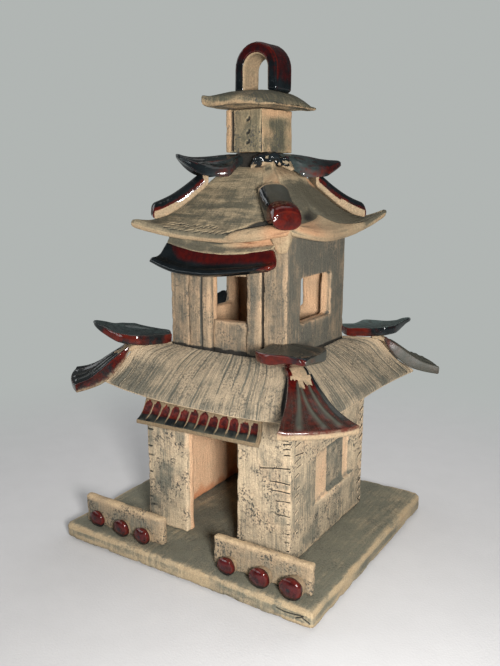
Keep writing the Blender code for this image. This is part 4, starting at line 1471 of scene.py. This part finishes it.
    def build(self) -> None:
        """Make the four fans and the clay at their necks."""
        for corner in Corner:
            self.fan(corner)
            self.neck(corner)


@dataclass(frozen=True)
class Leaf:
    """How one leaf is bent, cut short and glazed."""

    lift: float = 0.0
    tip: float = 0.0
    shift: float = 0.0
    kept: float = 1.0
    slim: float = 1.0
    narrow: float = 0.0
    sag: float = 0.0
    flank: float = 0.42
    flush: float = 0.0
    dark_from: float = 0.55
    dust: float = 0.10
    # how much painted teal-grey sheen the leaf gets
    painted_sheen_share: float = 0.0
    drained: bool = False


@dataclass
class Leaves:
    """The boat-shaped leaves over the hips of one roof."""

    kiln: Kiln
    tier: Tier
    leaves: dict[Corner, Leaf]
    ridge: Knots
    half_width: float
    thickness: float
    edge_lift: float
    top_tone: float
    pointed: bool = False
    edge: float = 0.8 * MM
    clearance: float = 0.0034
    steps: tuple[int, int] = (46, 56)

    def surface(self, corner: Corner, u: Array, v: Array, under: bool) -> Array:
        """A leaf's upper or lower surface.

        Args:
            corner: Where it lies.
            u: Shares of the way across it.
            v: Shares of the way along it.
            under: True for the lower surface.

        Returns:
            Points.
        """
        leaf = self.leaves[corner]
        t, side = v * leaf.kept, 2 * u - 1
        half, height = smooth_curve(self.ridge, t)
        reach = half * math.sqrt(2)
        swell = np.sin(math.pi * np.minimum(1.0, 0.10 + 0.90 * t) ** 0.85)
        width = 0.0012 + (self.half_width - 0.0012) * np.maximum(0.0, swell) ** 0.8
        if self.pointed:
            cut = np.clip(np.minimum((t + 0.10) / 0.54, (1 - t) / 0.52), 0, 1) ** 0.85
            width = np.minimum(width, 0.0010 + self.half_width * cut)
        width = np.minimum(width, reach - self.clearance) * leaf.slim * (1 - leaf.narrow * ease(t, 0.45, 0.85))
        share = width / self.half_width
        flat = 0.0 if self.pointed else 0.45 * ease(t, 0.3, 0.0)
        height = height + self.edge_lift * (1 - flat) * (side * share) ** 2 + leaf.lift + leaf.tip * t ** 5
        height = height - leaf.sag * np.maximum(0.0, side) * ease(t, 0.0, 0.3) * ease(t, 1.0, 0.75)
        if under:
            height = height - self.thickness * (0.35 + 0.65 * np.minimum(1.0, share + 0.6 * (1 - t)))
        return from_corner(corner, reach, side * width + leaf.shift * np.minimum(1.0, 0.2 + 2 * v), height)

    def shape(self, corner: Corner, leaf: Leaf) -> None:
        """Shape and paint one leaf; a broken one ends in a ragged bare face.

        Args:
            corner: Where it lies.
            leaf: How it is bent and glazed.
        """
        broken = leaf.kept < 1
        node = f"{'broken' if broken else self.tier.value}_leaf_{corner.name.lower()}"
        form = Form.slab(node + "_glazed", partial(self.surface, corner), self.steps, self.edge)
        u, v, under = form.sheet
        side = 2 * u - 1
        seed = 146 + 3 * corner.value[0] + corner.value[1]
        groove = ripple(seed, side * 9 * (1 - 0.3 * v), v * 2.5)
        form.push(groove * 0.42 * MM * (1 - under))
        form.weather(0.30 * MM, 0.12 * MM, seed + 1)
        top = ease(form.normals()[:, 2], 0.40, 0.80)
        flank = leaf.flank - leaf.flush * ease(v, 0.3, 0.5) + 0.5 * ease(form.grain(0.010, seed + 4), 0.1, 0.6)
        flank = flank + 0.6 * ease(v, leaf.dark_from, leaf.dark_from + 0.20)
        if leaf.drained:
            flank = flank + 0.4 * ease(side, 0.2, 0.5) - 0.15 * ease(v, 0.7, 0.9)
            form.paint(Mark.ASH, (1 - top) * ease(side, 0.35, 0.7) * 0.60)
        form.paint(Mark.TONE, top * self.top_tone + (1 - top) * flank)
        # painted sheen: a teal-grey reflection on the lower leaves' tops and the upper leaves' inner halves
        form.paint(Mark.MIST, (top if self.pointed else ease(v, 0.7, 0.4)) * leaf.painted_sheen_share)
        form.paint(Mark.ASH, top * (leaf.dust + 0.12 * groove) * ease(v, 1.0, 0.7))
        if broken:
            chips = form.grain(0.0036, seed + 2)
            form.push(MM * (-2.2 * ease(chips, -0.3, 0.7) + 0.6) * ease(v, 0.40, 0.80))
            level = form.points[:, 2] + 0.0022 * form.grain(0.0030, seed + 3)
            form.paint(Mark.RAW, np.maximum(ease(level, 0.2318, 0.2308), ease(chips, 0.50, 0.65) * ease(v, 0.6, 0.8)))
        form.along(side * 0.014, v * 0.045)
        self.kiln.fire(form, GLOSS, node)

    def build(self) -> None:
        """Make the four leaves."""
        for corner, leaf in self.leaves.items():
            self.shape(corner, leaf)


@dataclass
class HipBars:
    """Thick bars down the hips of the upper roof, glazed on top and bare on their flanks."""

    kiln: Kiln
    path: Knots = (
        (0.0222, 0.2218, 0.0078), (0.0260, 0.2174, 0.0078), (0.0300, 0.2129, 0.0078), (0.0345, 0.2084, 0.0078),
        (0.0395, 0.2046, 0.0078), (0.0450, 0.2025, 0.0068))
    block_path: Knots = (
        (0.0245, 0.2163, 0.0060), (0.0285, 0.2098, 0.0088), (0.0325, 0.2042, 0.0112), (0.0370, 0.2008, 0.0122),
        (0.0424, 0.2010, 0.0104), (0.0464, 0.1972, 0.0120))
    half_width: float = 0.0083
    block_across: float = -0.0035
    bedded: float = 0.0020
    edge: float = 2.2 * MM
    block_edge: float = 2.6 * MM
    steps: tuple[int, int] = (36, 56)

    def surface(self, corner: Corner, u: Array, v: Array, under: bool) -> Array:
        """A bar's upper or lower surface.

        Args:
            corner: Where it lies.
            u: Shares of the way across it.
            v: Shares of the way down it.
            under: True for the lower surface.

        Returns:
            Points.
        """
        block = corner is Corner.FRONT_RIGHT
        half, height, thickness = smooth_curve(self.block_path if block else self.path, v)
        side = 2 * u - 1
        if not under:
            height = height + thickness - np.abs(side) ** 3 * 0.0032
        elif not block:
            height = height - self.bedded
        else:
            height = height + (side ** 4 * 0.0030 - 0.0006 * (1 - side ** 2)) * ease(v, 0.75, 0.92)
        width = self.half_width * (1 - 0.12 * np.maximum(0.0, (v - 0.8) / 0.2) ** 2)
        return from_corner(corner, half * math.sqrt(2), side * width + self.block_across * block, height)

    def bar(self, corner: Corner) -> None:
        """Shape and paint one bar; the front right one ends in a red block.

        Args:
            corner: Where it lies.
        """
        name = "hip_bar_" + corner.name.lower()
        block = corner is Corner.FRONT_RIGHT
        edge = self.block_edge if block else self.edge
        form = Form.slab(name + "_glazed", partial(self.surface, corner), self.steps, edge)
        u, v, _ = form.sheet
        side = 2 * u - 1
        form.weather(0.18 * MM, 0.08 * MM, 151 + corner.value[0] + 2 * corner.value[1])
        if block:
            stem = ease(v, 0.70, 0.62)
            form.paint(Mark.TONE, 0.02 + stem * 0.9)
            # ash on the stem but not on its left flank, which stays dark: painted shade
            form.paint(Mark.ASH, stem * 0.60 * ease(side, -0.85, -0.55))
            form.paint(Mark.RAW, stem * ease(v, 0.14, 0.04))
        else:
            _, base, thick = smooth_curve(self.path, v)
            share = (form.points[:, 2] - base) / thick + 0.08 * form.grain(0.005, 156)
            line = 0.12 + 0.22 * ease(v, 0.3, 0.8)
            form.paint(Mark.TONE, 0.62 + 0.3 * ease(form.normals()[:, 2], 0.25, 0.6))
            form.paint(Mark.RAW, ease(share, line + 0.12, line) * (v < 0.97))
            form.paint(Mark.RAW, ease(v + 0.04 * form.grain(0.004, 157), 0.12, 0.07))
        form.along(side * 0.008, v * 0.045)
        self.kiln.fire(form, GLOSS, name)

    def build(self) -> None:
        """Make the four bars."""
        for corner in Corner:
            self.bar(corner)


# Second storey


@dataclass
class SecondStorey(Storey):
    """Boards, posts and panels round four windows, with the floor that carries them."""

    half: Pair = (0.0401, 0.0360)
    floor_voxel: float = 2.2 * MM
    board_voxel: float = 0.9 * MM
    right_voxel: float = 0.85 * MM
    plain_voxel: float = 1.5 * MM
    front_pieces: tuple[str, ...] = (
        "upper_board_left", "upper_post_left", "upper_post_right", "upper_apron", "upper_head")

    def dress(self, form: Form, seed: int) -> None:
        """Weather a wall, leave its reveals and its inside bare, and paint shade along its foot where it meets the
        roof.

        Args:
            form: The wall.
            seed: Number of the random field.
        """
        form.weather(0.24 * MM, 0.12 * MM, seed, nick=0.35 * MM)
        z = form.points[:, 2]
        form.paint(Mark.BARE, ease(self.inside(form), 0.0024, 0.0036) * (0.75 + 0.25 * form.grain(0.007, seed + 4)))
        # painted shade along the foot: darker towards it, and near black in the joint with the roof
        form.paint(Mark.WASH, ease(z, 0.1320, 0.1220) * 0.5)
        form.paint(Mark.CUT, ease(z + 0.0004 * form.grain(0.004, seed + 5), 0.1269, 0.1263))

    def board(self, node: str, seed: int) -> None:
        """One board, post or panel of the front.

        Args:
            node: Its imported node.
            seed: Number of the random field.
        """
        form = Form.from_nodes(node + "_clay", self.board_voxel, **{node: STILL})
        self.dress(form, seed)
        if node == "upper_post_left":
            y = -self.half[1] / MM - 0.9
            form.score([[(-16.5, y, 118.0), (-16.9, y, 150.0), (-16.3, y, 186.0)]], 0.9 * MM, 0.8 * MM)
        form.paint(Mark.WASH, ease(form.grain((0.012, 0.012, 0.03), seed + 6), 0.0, 0.8) * 0.5)
        # dark seams at the board's sides: stain in the joint and painted shade
        flank = ease(np.abs(form.normals()[:, 0]), 0.75, 0.95)
        form.paint(Mark.CUT, flank * ease(np.abs(form.points[:, 0] + 0.004), 0.0135, 0.0145) * 0.8)
        self.kiln.fire(form, UPPER_WALL, node)

    def walls(self) -> None:
        """The front board with the right wall as one shell, and the plain left and back walls."""
        nodes = {"upper_board_right": STILL, "upper_right_wall": (0, 0.0165, 0)}
        form = Form.from_nodes("upper_corner_and_right_wall_clay", self.right_voxel, **nodes)
        self.dress(form, 171)
        side = ease(form.normals()[:, 0], 0.5, 0.9)
        form.paint(Mark.WASH, side * (0.55 + 0.35 * form.grain((0.02, 0.012, 0.03), 172)))
        self.kiln.fire(form, UPPER_WALL, *nodes)
        for node, more in (("upper_left_wall", (0, 0.001, 0)), ("upper_back_wall", (-0.001, 0, 0))):
            form = Form.from_nodes(node + "_clay", self.plain_voxel, **{node: more})
            if node == "upper_left_wall":
                y = form.points[:, 1] - AXIS[1]
                form.points[:, 1] += 0.0095 * ease(y, 0.0, 0.0075) * ease(y, 0.0285, 0.0095)
            self.dress(form, 181)
            self.kiln.fire(form, UPPER_WALL, node)

    def build(self) -> None:
        """Make the floor and every wall piece."""
        floor = Form.from_nodes("upper_floor_clay", self.floor_voxel, upper_floor=STILL)
        floor.weather(0.1 * MM, 0.1 * MM, 160)
        self.kiln.fire(floor, UPPER_WALL, "upper_floor")
        for number, node in enumerate(self.front_pieces):
            self.board(node, 161 + 7 * number)
        self.walls()


@dataclass
class WindowAwning:
    """The curved strip over the front window: red above a rolled blue-black lip."""

    kiln: Kiln
    roof: UpperRoof
    section: Knots = (
        (-0.0409, 0.1872), (-0.0424, 0.1832), (-0.0446, 0.1790), (-0.0468, 0.1755), (-0.0490, 0.1728))
    thickness: float = 0.0042
    rise: float = 0.0048
    length: float = 0.075
    depth: float = 0.017
    steps: tuple[int, int] = (150, 34)
    filler_steps: tuple[int, int] = (150, 26)

    def surface(self, u: Array, v: Array, under: bool) -> Array:
        """The strip's outer or inner surface.

        Args:
            u: Shares of the way along it.
            v: Shares of the way down it.
            under: True for the inner one.

        Returns:
            Points.
        """
        y, z = smooth_curve(self.section, v)
        left, right = -0.0385 - 0.0070 * v, 0.0335 + 0.0040 * v + 0.0014 * np.sin(math.pi * v)
        right = right - 0.0052 * np.maximum(0.0, (v - 0.55) / 0.45) ** 2
        tip = 0.0042 * np.maximum(0.0, 1 - 4 * u) ** 1.5 + self.rise * np.maximum(0.0, (u - 0.4) / 0.6) ** 1.4
        z = z - 0.0016 * np.sin(math.pi * u) + tip * v
        if under:
            y, z = y + self.thickness * 0.8, z - self.thickness * 0.5
        return np.stack([left + (right - left) * u, y, z], axis=-1) + AXIS

    def filler(self, u: Array, v: Array, under: bool) -> Array:
        """The smeared clay between the strip and the eave.

        Args:
            u: Shares of the way along it.
            v: Shares of the way down it.
            under: True for its hidden side.

        Returns:
            Points.
        """
        top = self.roof.surface(Side.FRONT, 0.12 + 0.83 * u, 0.83 + 0 * u, True)
        foot = self.surface(0.02 + 0.97 * u, 0.05 + 0.17 * np.sin(math.pi * u) ** 0.7, False)
        point = top + (foot + np.array([0, -0.0005, 0.0004]) - top) * v[:, None]
        point[:, 1] += 0.0016 * np.sin(math.pi * v) + 0.0030 * under
        return point

    def smear(self) -> None:
        """Close the gap over the strip with smeared clay."""
        form = Form.slab("awning_filler_clay", self.filler, self.filler_steps, 0.8 * MM)
        u, v, _ = form.sheet
        form.weather(0.3 * MM, 0.20 * MM, 195)
        seam = 0.36 + 0.10 * ripple(196, u * 5)
        line = ease(0.06 - np.abs(v - seam), 0, 0.04) * ease(u, 0.08, 0.15) * ease(u, 0.86, 0.78)
        form.push(-0.5 * MM * line)
        form.paint(Mark.CUT, line * 0.7)
        # stain and painted shade under the eave, fading towards the right
        form.paint(Mark.WASH, (0.40 + 0.4 * form.grain(0.008, 197)) * (1 - 0.7 * ease(u, 0.4, 0.7)))
        form.paint(Mark.BARE, ease(u, 0.4, 0.7) * ease(v, 0.7, 0.5) * 0.6)
        form.paint(Mark.RUST, ease(u, 0.50, 0.80) * ease(v, 0.8, 0.55) * 0.30)
        form.along(v * 0.01, u * self.length)
        self.kiln.fire(form, SWEPT)

    def strip(self) -> None:
        """Shape and paint the strip."""
        form = Form.slab("window_awning_glazed", self.surface, self.steps, 1.6 * MM)
        u, v, under = form.sheet
        form.push((bump(v, 0.82, 0.13) - 0.7 * bump(v, 0.48, 0.2)) * MM * (1 - under))
        form.weather(0.2 * MM, 0.08 * MM, 191)
        edge = 0.60 - 0.25 * ease(u, 0.2, 0.0) + 0.06 * ripple(192, u * 9)
        lip = 0.95 * ease(v, edge - 0.34, edge + 0.16) * (1 - 0.6 * ease(u, 0.90, 0.97))
        form.paint(Mark.TONE, 0.12 + lip + 0.45 * ease(u, 0.22, 0.02) + 0.25 * ease(v, 0.25, 0.0))
        form.paint(Mark.RAW, under * ease(v, 0.2, 0.3) * 0.2)
        form.along(v * self.depth, u * self.length)
        self.kiln.fire(form, AWNING, "window_awning")

    def build(self) -> None:
        """Make the smear, then the strip."""
        self.smear()
        self.strip()


# Third storey and finial


@dataclass
class Crown:
    """The pad, the small tower, the sagging cap slab and the glazed arch."""

    kiln: Kiln
    turn: float = math.radians(-5.0)
    tower_centre: Pair = (-0.0004, -0.00025)
    tower_half: Pair = (0.0122, 0.01465)
    tower_top: float = 0.2620
    cap_half: float = 0.0250
    cap_rim: float = 0.0030
    cap_gap: float = 0.0003
    foot: float = 0.2723
    arch_centre: Pair = (0.00175, 0.0001)
    arch_foot: Pair = (0.2735, 0.2800)
    arch_spring: float = 0.2840
    arch_top: float = 0.2982
    arch_inner: float = 0.0076
    voxel: float = 0.6 * MM
    pad_voxel: float = 0.9 * MM
    cap_steps: tuple[int, int] = (56, 56)

    def pad(self) -> None:
        """The pad under the tower, with painted shade where the tower stands over it."""
        form = Form.from_nodes("top_pad_clay", self.pad_voxel, top_pad=(-0.0064, 0.0026, 0.0144))
        form.weather(0.2 * MM, 0.15 * MM, 200)
        # painted shade: near black at the pad's top, under the tower
        form.paint(Mark.CUT, ease(form.points[:, 2], 0.2289, 0.2301) * 0.95)
        form.paint(Mark.WASH, 0.45 + 0.4 * form.grain(0.004, 205))
        self.kiln.fire(form, SWEPT, "top_pad")

    def tower(self) -> None:
        """Four walls with cut corner strips and small gouges."""
        form = Form.from_nodes("third_storey_clay", self.voxel, third_storey=(0.0022, 0, 0))
        groove = [self.on_tower((-8.8, 237.0), (-8.4, 250.0), (-8.7, 262.5))]
        gouges = [self.on_tower((2.2, z), (3.4, z + 0.5), (3.7, z + 1.5)) for z in (255.6, 248.6, 243.2)]
        form.finer(groove, 1.6 * MM, 1)
        form.weather(0.2 * MM, 0.12 * MM, 201, nick=0.4 * MM)
        along, back, z = (form.points - AXIS - np.array([*self.tower_centre, 0])).T
        cos, sin = math.cos(self.turn), math.sin(self.turn)
        x, y = along * cos + back * sin, back * cos - along * sin
        inside = np.minimum(self.tower_half[0] - np.abs(x), self.tower_half[1] - np.abs(y))
        form.paint(Mark.BARE, ease(inside, 0.0015, 0.0026))
        form.score(groove, 1.75 * MM, 1.9 * MM)
        form.score([self.on_tower((12.7, 238.0), (12.5, 250.0), (12.8, 262.0))], 0.85 * MM, 0.8 * MM)
        form.score(gouges, 1.1 * MM, 1.0 * MM)
        front = ease(-y, self.tower_half[1] - 0.0012, self.tower_half[1] - 0.0006)
        sides = ease(x, 0.0120, 0.0130)
        stain = bump(y, 0.001, 0.0065) * ease(z, 0.2590, 0.2550)
        rough = 0.25 * form.grain(0.005, 204)
        form.paint(Mark.WASH, ease(form.grain(0.007, 203), -0.1, 0.7) * 0.7)
        form.paint(Mark.BARE, front * ((x < -0.0090) * 0.6 + (x > 0.0128) * 0.5))
        form.paint(Mark.BARE, sides * (0.32 + rough + 0.4 * ease(z, 0.2570, 0.2600) - 0.5 * stain))
        form.paint(Mark.WASH, sides * stain * (0.40 + rough))
        self.kiln.fire(form, CROWN, "third_storey")

    def on_tower(self, *places: Pair) -> Line:
        """A line on the tower's front face, from places across it and heights, in millimetres.

        Args:
            places: The places.

        Returns:
            The line, in millimetres from the tower's centre line.
        """
        cos, sin = math.cos(self.turn), math.sin(self.turn)
        y = -self.tower_half[1] / MM
        return [(self.tower_centre[0] / MM + x * cos - y * sin, self.tower_centre[1] / MM + x * sin + y * cos, z)
                for x, z in places]

    def cap_surface(self, u: Array, v: Array, under: bool) -> Array:
        """The cap slab's upper or lower surface.

        Args:
            u: Shares of the way across it.
            v: Shares of the way from its front to its back.
            under: True for the lower one.

        Returns:
            Points.
        """
        x, y = 2 * u - 1, 2 * v - 1
        corner = (np.abs(x) * np.abs(y)) ** 3
        reach = (np.abs(x) ** 5 + np.abs(y) ** 5) ** 0.2
        edge = np.clip((reach - 0.50) / 0.50, 0.0, 1.0) ** 1.2
        level = np.clip(-0.5 * (x + y), 0.0, 1.0)
        droop = 0.0064 + 0.0016 * np.maximum(0.0, x) + 0.0005 * np.sin(4.1 * x + 2.3 * y) - 0.0040 * level
        height = self.foot - self.cap_gap - droop * edge ** 1.2 + 0.0006 * corner
        if under:
            rest = self.tower_top + self.cap_gap
            height = rest + np.maximum(0.0, height - self.cap_rim - 0.0030 * level - rest) * edge
        pull = self.cap_half * (1 - 0.03 * corner)
        return np.stack([x * pull, y * pull, height], axis=-1) + AXIS

    def cap(self) -> None:
        """The sagging slab under the arch."""
        form = Form.slab("cap_slab_clay", self.cap_surface, self.cap_steps, 1.7 * MM)
        under = form.marks[Mark.UNDER]
        form.weather(0.35 * MM, 0.14 * MM, 211, nick=0.3 * MM)
        form.paint(Mark.BARE, under * 0.3)
        form.paint(Mark.WASH, 0.35 + (1 - under) * (0.35 + 0.4 * form.grain(0.012, 214)))
        form.along(form.points[:, 0] + form.points[:, 1], form.points[:, 2])
        self.kiln.fire(form, CROWN, "cap_slab")

    def arch(self) -> None:
        """The strap: glazed outside and on its edges, bare inside."""
        form = Form.from_nodes("finial_arch_glazed", self.voxel, finial_arch=STILL)
        form.weather(0.35 * MM, 0.10 * MM, 221)
        form.points[:, 2] -= 0.0008 * ease(form.points[:, 2], *self.arch_foot[::-1])
        form.points[:, 2] = np.minimum(form.points[:, 2], self.arch_top)
        x, _, z = (form.points - AXIS - np.array([*self.arch_centre, 0])).T
        radius = np.hypot(x, np.maximum(z - self.arch_spring, 0))
        low, face = ease(z, *self.arch_foot[::-1]), ease(np.abs(form.normals()[:, 1]), 0.4, 0.8)
        form.paint(Mark.RAW, ease(radius, self.arch_inner + 0.0012, self.arch_inner + 0.0004))
        form.paint(Mark.TONE, 0.47 + low * 0.35 + 0.30 * face * ease(z, 0.293, 0.286))
        form.along(form.points[:, 1], form.points[:, 2])
        self.kiln.fire(form, ARCH, "finial_arch")

    def build(self) -> None:
        """Make the crown from the pad up."""
        self.pad()
        self.tower()
        self.cap()
        self.arch()


# Studio


@dataclass(frozen=True)
class Lamp:
    """One soft light that faces the model, square unless it is a strip, which only gives the glaze its sheen."""

    name: str
    place: Triple
    size: float
    power: float
    colour: Colour
    strip: float = 0.0
    glossy: bool = True

    def hang(self, middle: Triple) -> None:
        """Set the light up, turned to the middle of the model.

        Args:
            middle: The middle of the model.
        """
        data = bpy.data.lights.new(self.name, "AREA")
        data.shape = "RECTANGLE"
        data.size, data.size_y = self.size, self.strip or self.size
        data.energy, data.color = self.power, self.colour
        lamp = bpy.data.objects.new(self.name, data)
        lamp.location = self.place
        lamp.visible_glossy, lamp.visible_diffuse = self.glossy, not self.strip
        lamp.rotation_euler = (Vector(middle) - Vector(self.place)).to_track_quat("-Z", "Y").to_euler()
        bpy.context.scene.collection.objects.link(lamp)


@dataclass
class Studio:
    """Camera, soft lights and a pale floor."""

    place: Triple = (0.229210, -0.361819, 0.225669)
    azimuth: float = 0.56856
    pitch: float = 0.222533
    roll: float = -0.002316
    lens: float = 37.797
    middle: Triple = (0.006, -0.002, 0.13)
    wall: Colour = (0.440, 0.465, 0.452)
    fill: Colour = (0.090, 0.094, 0.094)
    floor_colours: tuple[Colour, Colour] = ((0.52, 0.515, 0.52), (0.57, 0.565, 0.57))
    floor_radius: float = 3.0
    floor_level: float = -0.0004
    floor_sides: int = 64
    lamps: tuple[Lamp, ...] = (
        Lamp("key", (0.300, -0.352, 0.215), 0.07, 3.5, (1.0, 0.985, 0.96)),
        Lamp("sheen_strip", (-0.42, -0.66, 0.24), 0.60, 1.0, (0.90, 0.97, 1.0), strip=0.09),
        Lamp("left_fill", (-0.85, -0.10, 0.50), 0.60, 2.6, (0.96, 0.98, 1.0)),
        Lamp("back_fill", (0.10, 0.90, 0.55), 0.60, 5.0, (0.97, 0.99, 1.0), glossy=False),
        Lamp("overhead", (-0.05, 0.05, 0.95), 0.60, 1.4, (1.0, 0.99, 0.97)))

    def camera(self) -> None:
        """The camera at the photograph's angle."""
        cos, sin = math.cos(self.azimuth), math.sin(self.azimuth)
        ahead = Vector((-sin * math.cos(self.pitch), cos * math.cos(self.pitch), -math.sin(self.pitch)))
        right = Vector((cos, sin, 0))
        down = ahead.cross(right)
        turned = right * math.cos(self.roll) + down * math.sin(self.roll)
        up = right * math.sin(self.roll) - down * math.cos(self.roll)
        data = bpy.data.cameras.new("camera")
        data.lens, data.sensor_width, data.clip_start = self.lens, 36.0, 0.01
        camera = bpy.data.objects.new("camera", data)
        camera.matrix_world = Matrix.Translation(self.place) @ Matrix((turned, up, -ahead)).transposed().to_4x4()
        bpy.context.scene.collection.objects.link(camera)
        bpy.context.scene.camera = camera

    def surroundings(self) -> None:
        """A pale grey-green backdrop for the camera, with dim grey light from all round."""
        world = bpy.data.worlds.new("pale_room")
        world.use_nodes = True
        nodes, links = world.node_tree.nodes, world.node_tree.links
        mix = nodes.new("ShaderNodeMix")
        mix.data_type = "RGBA"
        mix.inputs[6].default_value, mix.inputs[7].default_value = (*self.fill, 1.0), (*self.wall, 1.0)
        links.new(nodes.new("ShaderNodeLightPath").outputs["Is Camera Ray"], mix.inputs[0])
        links.new(mix.outputs[2], nodes["Background"].inputs["Color"])
        bpy.context.scene.world = world

    def floor(self) -> None:
        """A pale floor that fades into the surroundings."""
        turns = [math.tau * n / self.floor_sides for n in range(self.floor_sides)]
        ring = [(self.floor_radius * math.cos(t), self.floor_radius * math.sin(t), self.floor_level) for t in turns]
        mesh = bpy.data.meshes.new("floor")
        mesh.from_pydata(ring, [], [list(range(self.floor_sides))])
        floor = bpy.data.objects.new("floor", mesh)
        recipe = Recipe("pale_floor")
        away = recipe.node("VectorMath", {0: recipe.place}, operation="LENGTH").outputs["Value"]
        far, mottle = recipe.step(away, 0.17, 0.42), recipe.noise(0.02, 4.0)
        near = recipe.blend(mottle, *self.floor_colours)
        recipe.feed(recipe.shader, {
            "Base Color": recipe.blend(far, near, (0.0, 0.0, 0.0)), "Roughness": recipe.between(mottle, 0.85, 0.95),
            "Emission Color": self.wall, "Emission Strength": far, "Specular IOR Level": 0.0})
        recipe.relief((recipe.noise(0.0012, 2.0), 0.00015))
        mesh.materials.append(recipe.material)
        bpy.context.scene.collection.objects.link(floor)

    def build(self) -> None:
        """Set up the studio."""
        self.camera()
        for lamp in self.lamps:
            lamp.hang(self.middle)
        self.surroundings()
        self.floor()
        bpy.context.scene.view_settings.view_transform = "Standard"


def lower_roof(kiln: Kiln) -> LowerRoof:
    """The roof of the ground storey.

    Args:
        kiln: What fires its pieces.

    Returns:
        The roof.
    """
    fine, plain = (300, 50), (110, 26)
    return LowerRoof(
        kiln, Tier.LOWER, THATCH,
        hip=((0.03835, 0.1260), (0.0480, 0.1259), (0.0545, 0.1243), (0.0585, 0.1175), (0.0627, 0.1115),
             (0.0682, 0.1060)),
        middle=((0.0, 0.1260), (0.25, 0.12088), (0.50, 0.1151), (0.75, 0.10838), (1.0, 0.1010)),
        wall=(0.0404, 0.0372), eave=(0.0703, 0.0660), thickness=(0.0070, 0.0028), bulge=3.0,
        tips={Corner.FRONT_LEFT: (0.0, 0.0006, 3.0), Corner.BACK_RIGHT: (0.0052, -0.0042, 1.5)},
        wall_skew=0.0, comb=0.20 * MM,
        steps={Side.FRONT: fine, Side.RIGHT: fine, Side.BACK: plain, Side.LEFT: plain})


def upper_roof(kiln: Kiln) -> UpperRoof:
    """The roof of the second storey.

    Args:
        kiln: What fires its pieces.

    Returns:
        The roof.
    """
    return UpperRoof(
        kiln, Tier.UPPER, SWEPT,
        hip=((0.0120, 0.2310), (0.0170, 0.2268), (0.0225, 0.2205), (0.0280, 0.2140), (0.0340, 0.2075),
             (0.0400, 0.2030), (0.0470, 0.2010), (0.0545, 0.2035)),
        middle=((0.0, 0.2310), (0.14, 0.2262), (0.30, 0.2185), (0.46, 0.2110), (0.64, 0.2040), (0.82, 0.1980),
                (1.0, 0.1942)),
        wall=(0.0120, 0.0120), eave=(0.0505, 0.0480), thickness=(0.0064, 0.0052), bulge=2.2,
        tips={Corner.FRONT_LEFT: (-0.0008, -0.0026, 7.0), Corner.BACK_RIGHT: (0.0020, 0.0024, 7.0),
              Corner.FRONT_RIGHT: (-0.0125, -0.0025, 2.0)},
        wall_skew=1.0, comb=0.05 * MM,
        steps={Side.FRONT: (170, 70), Side.RIGHT: (150, 64), Side.BACK: (80, 34), Side.LEFT: (80, 34)})


def lower_leaves(kiln: Kiln) -> Leaves:
    """The leaves over the fans.

    Args:
        kiln: What fires its pieces.

    Returns:
        The leaves.
    """
    return Leaves(
        kiln, Tier.LOWER, half_width=0.0185, thickness=0.0055, edge_lift=0.0036, top_tone=0.92, pointed=True,
        ridge=((0.0385, 0.1325), (0.0440, 0.1322), (0.0500, 0.1318), (0.0560, 0.1325), (0.0620, 0.1352),
               (0.0670, 0.1388), (0.0703, 0.1414)),
        leaves={
            Corner.FRONT_RIGHT: Leaf(lift=0.0030, tip=-0.0068, shift=-0.0035, dark_from=FAR, dust=0.45, drained=True),
            Corner.BACK_RIGHT: Leaf(tip=-0.0058, narrow=0.32, sag=0.0032, flank=0.50, dark_from=0.14, dust=0.50,
                                    painted_sheen_share=1.0),
            Corner.BACK_LEFT: Leaf(),
            Corner.FRONT_LEFT: Leaf(dark_from=0.74, painted_sheen_share=0.35)})


def upper_leaves(kiln: Kiln) -> Leaves:
    """The leaves under the third storey, of which the front right one is broken off.

    Args:
        kiln: What fires its pieces.

    Returns:
        The leaves.
    """
    plain = Leaf(flank=0.86, dark_from=0.9, dust=0.04)
    return Leaves(
        kiln, Tier.UPPER, half_width=0.0170, thickness=0.0056, edge_lift=-0.0084, top_tone=0.78, edge=2.2 * MM,
        ridge=((0.0032, 0.2377), (0.0080, 0.2377), (0.0140, 0.2376), (0.0200, 0.2366), (0.0260, 0.2356),
               (0.0310, 0.2360), (0.0345, 0.2376)),
        leaves={
            Corner.FRONT_RIGHT: replace(plain, kept=0.32, slim=0.82),
            Corner.BACK_RIGHT: replace(plain, tip=-0.0046, flush=0.28, painted_sheen_share=0.45),
            Corner.BACK_LEFT: plain,
            Corner.FRONT_LEFT: replace(plain, painted_sheen_share=0.1575)})


def main() -> None:
    """Build every sub-assembly from the plate up, then the studio, and log the number of triangles."""
    logging.basicConfig(level=logging.INFO, format="%(name)s: %(message)s")
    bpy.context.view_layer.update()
    kiln = Kiln()
    lower, upper = lower_roof(kiln), upper_roof(kiln)
    parts = (Forecourt(kiln), GroundStorey(kiln), DoorBand(kiln), lower, upper, CornerClay(kiln, upper), Fans(kiln),
             lower_leaves(kiln), upper_leaves(kiln), HipBars(kiln), SecondStorey(kiln), WindowAwning(kiln, upper),
             Crown(kiln), Studio())
    for part in parts:
        part.build()
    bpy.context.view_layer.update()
    LOG.info("%d triangles in all", kiln.triangles)


if __name__ == "__main__":
    main()
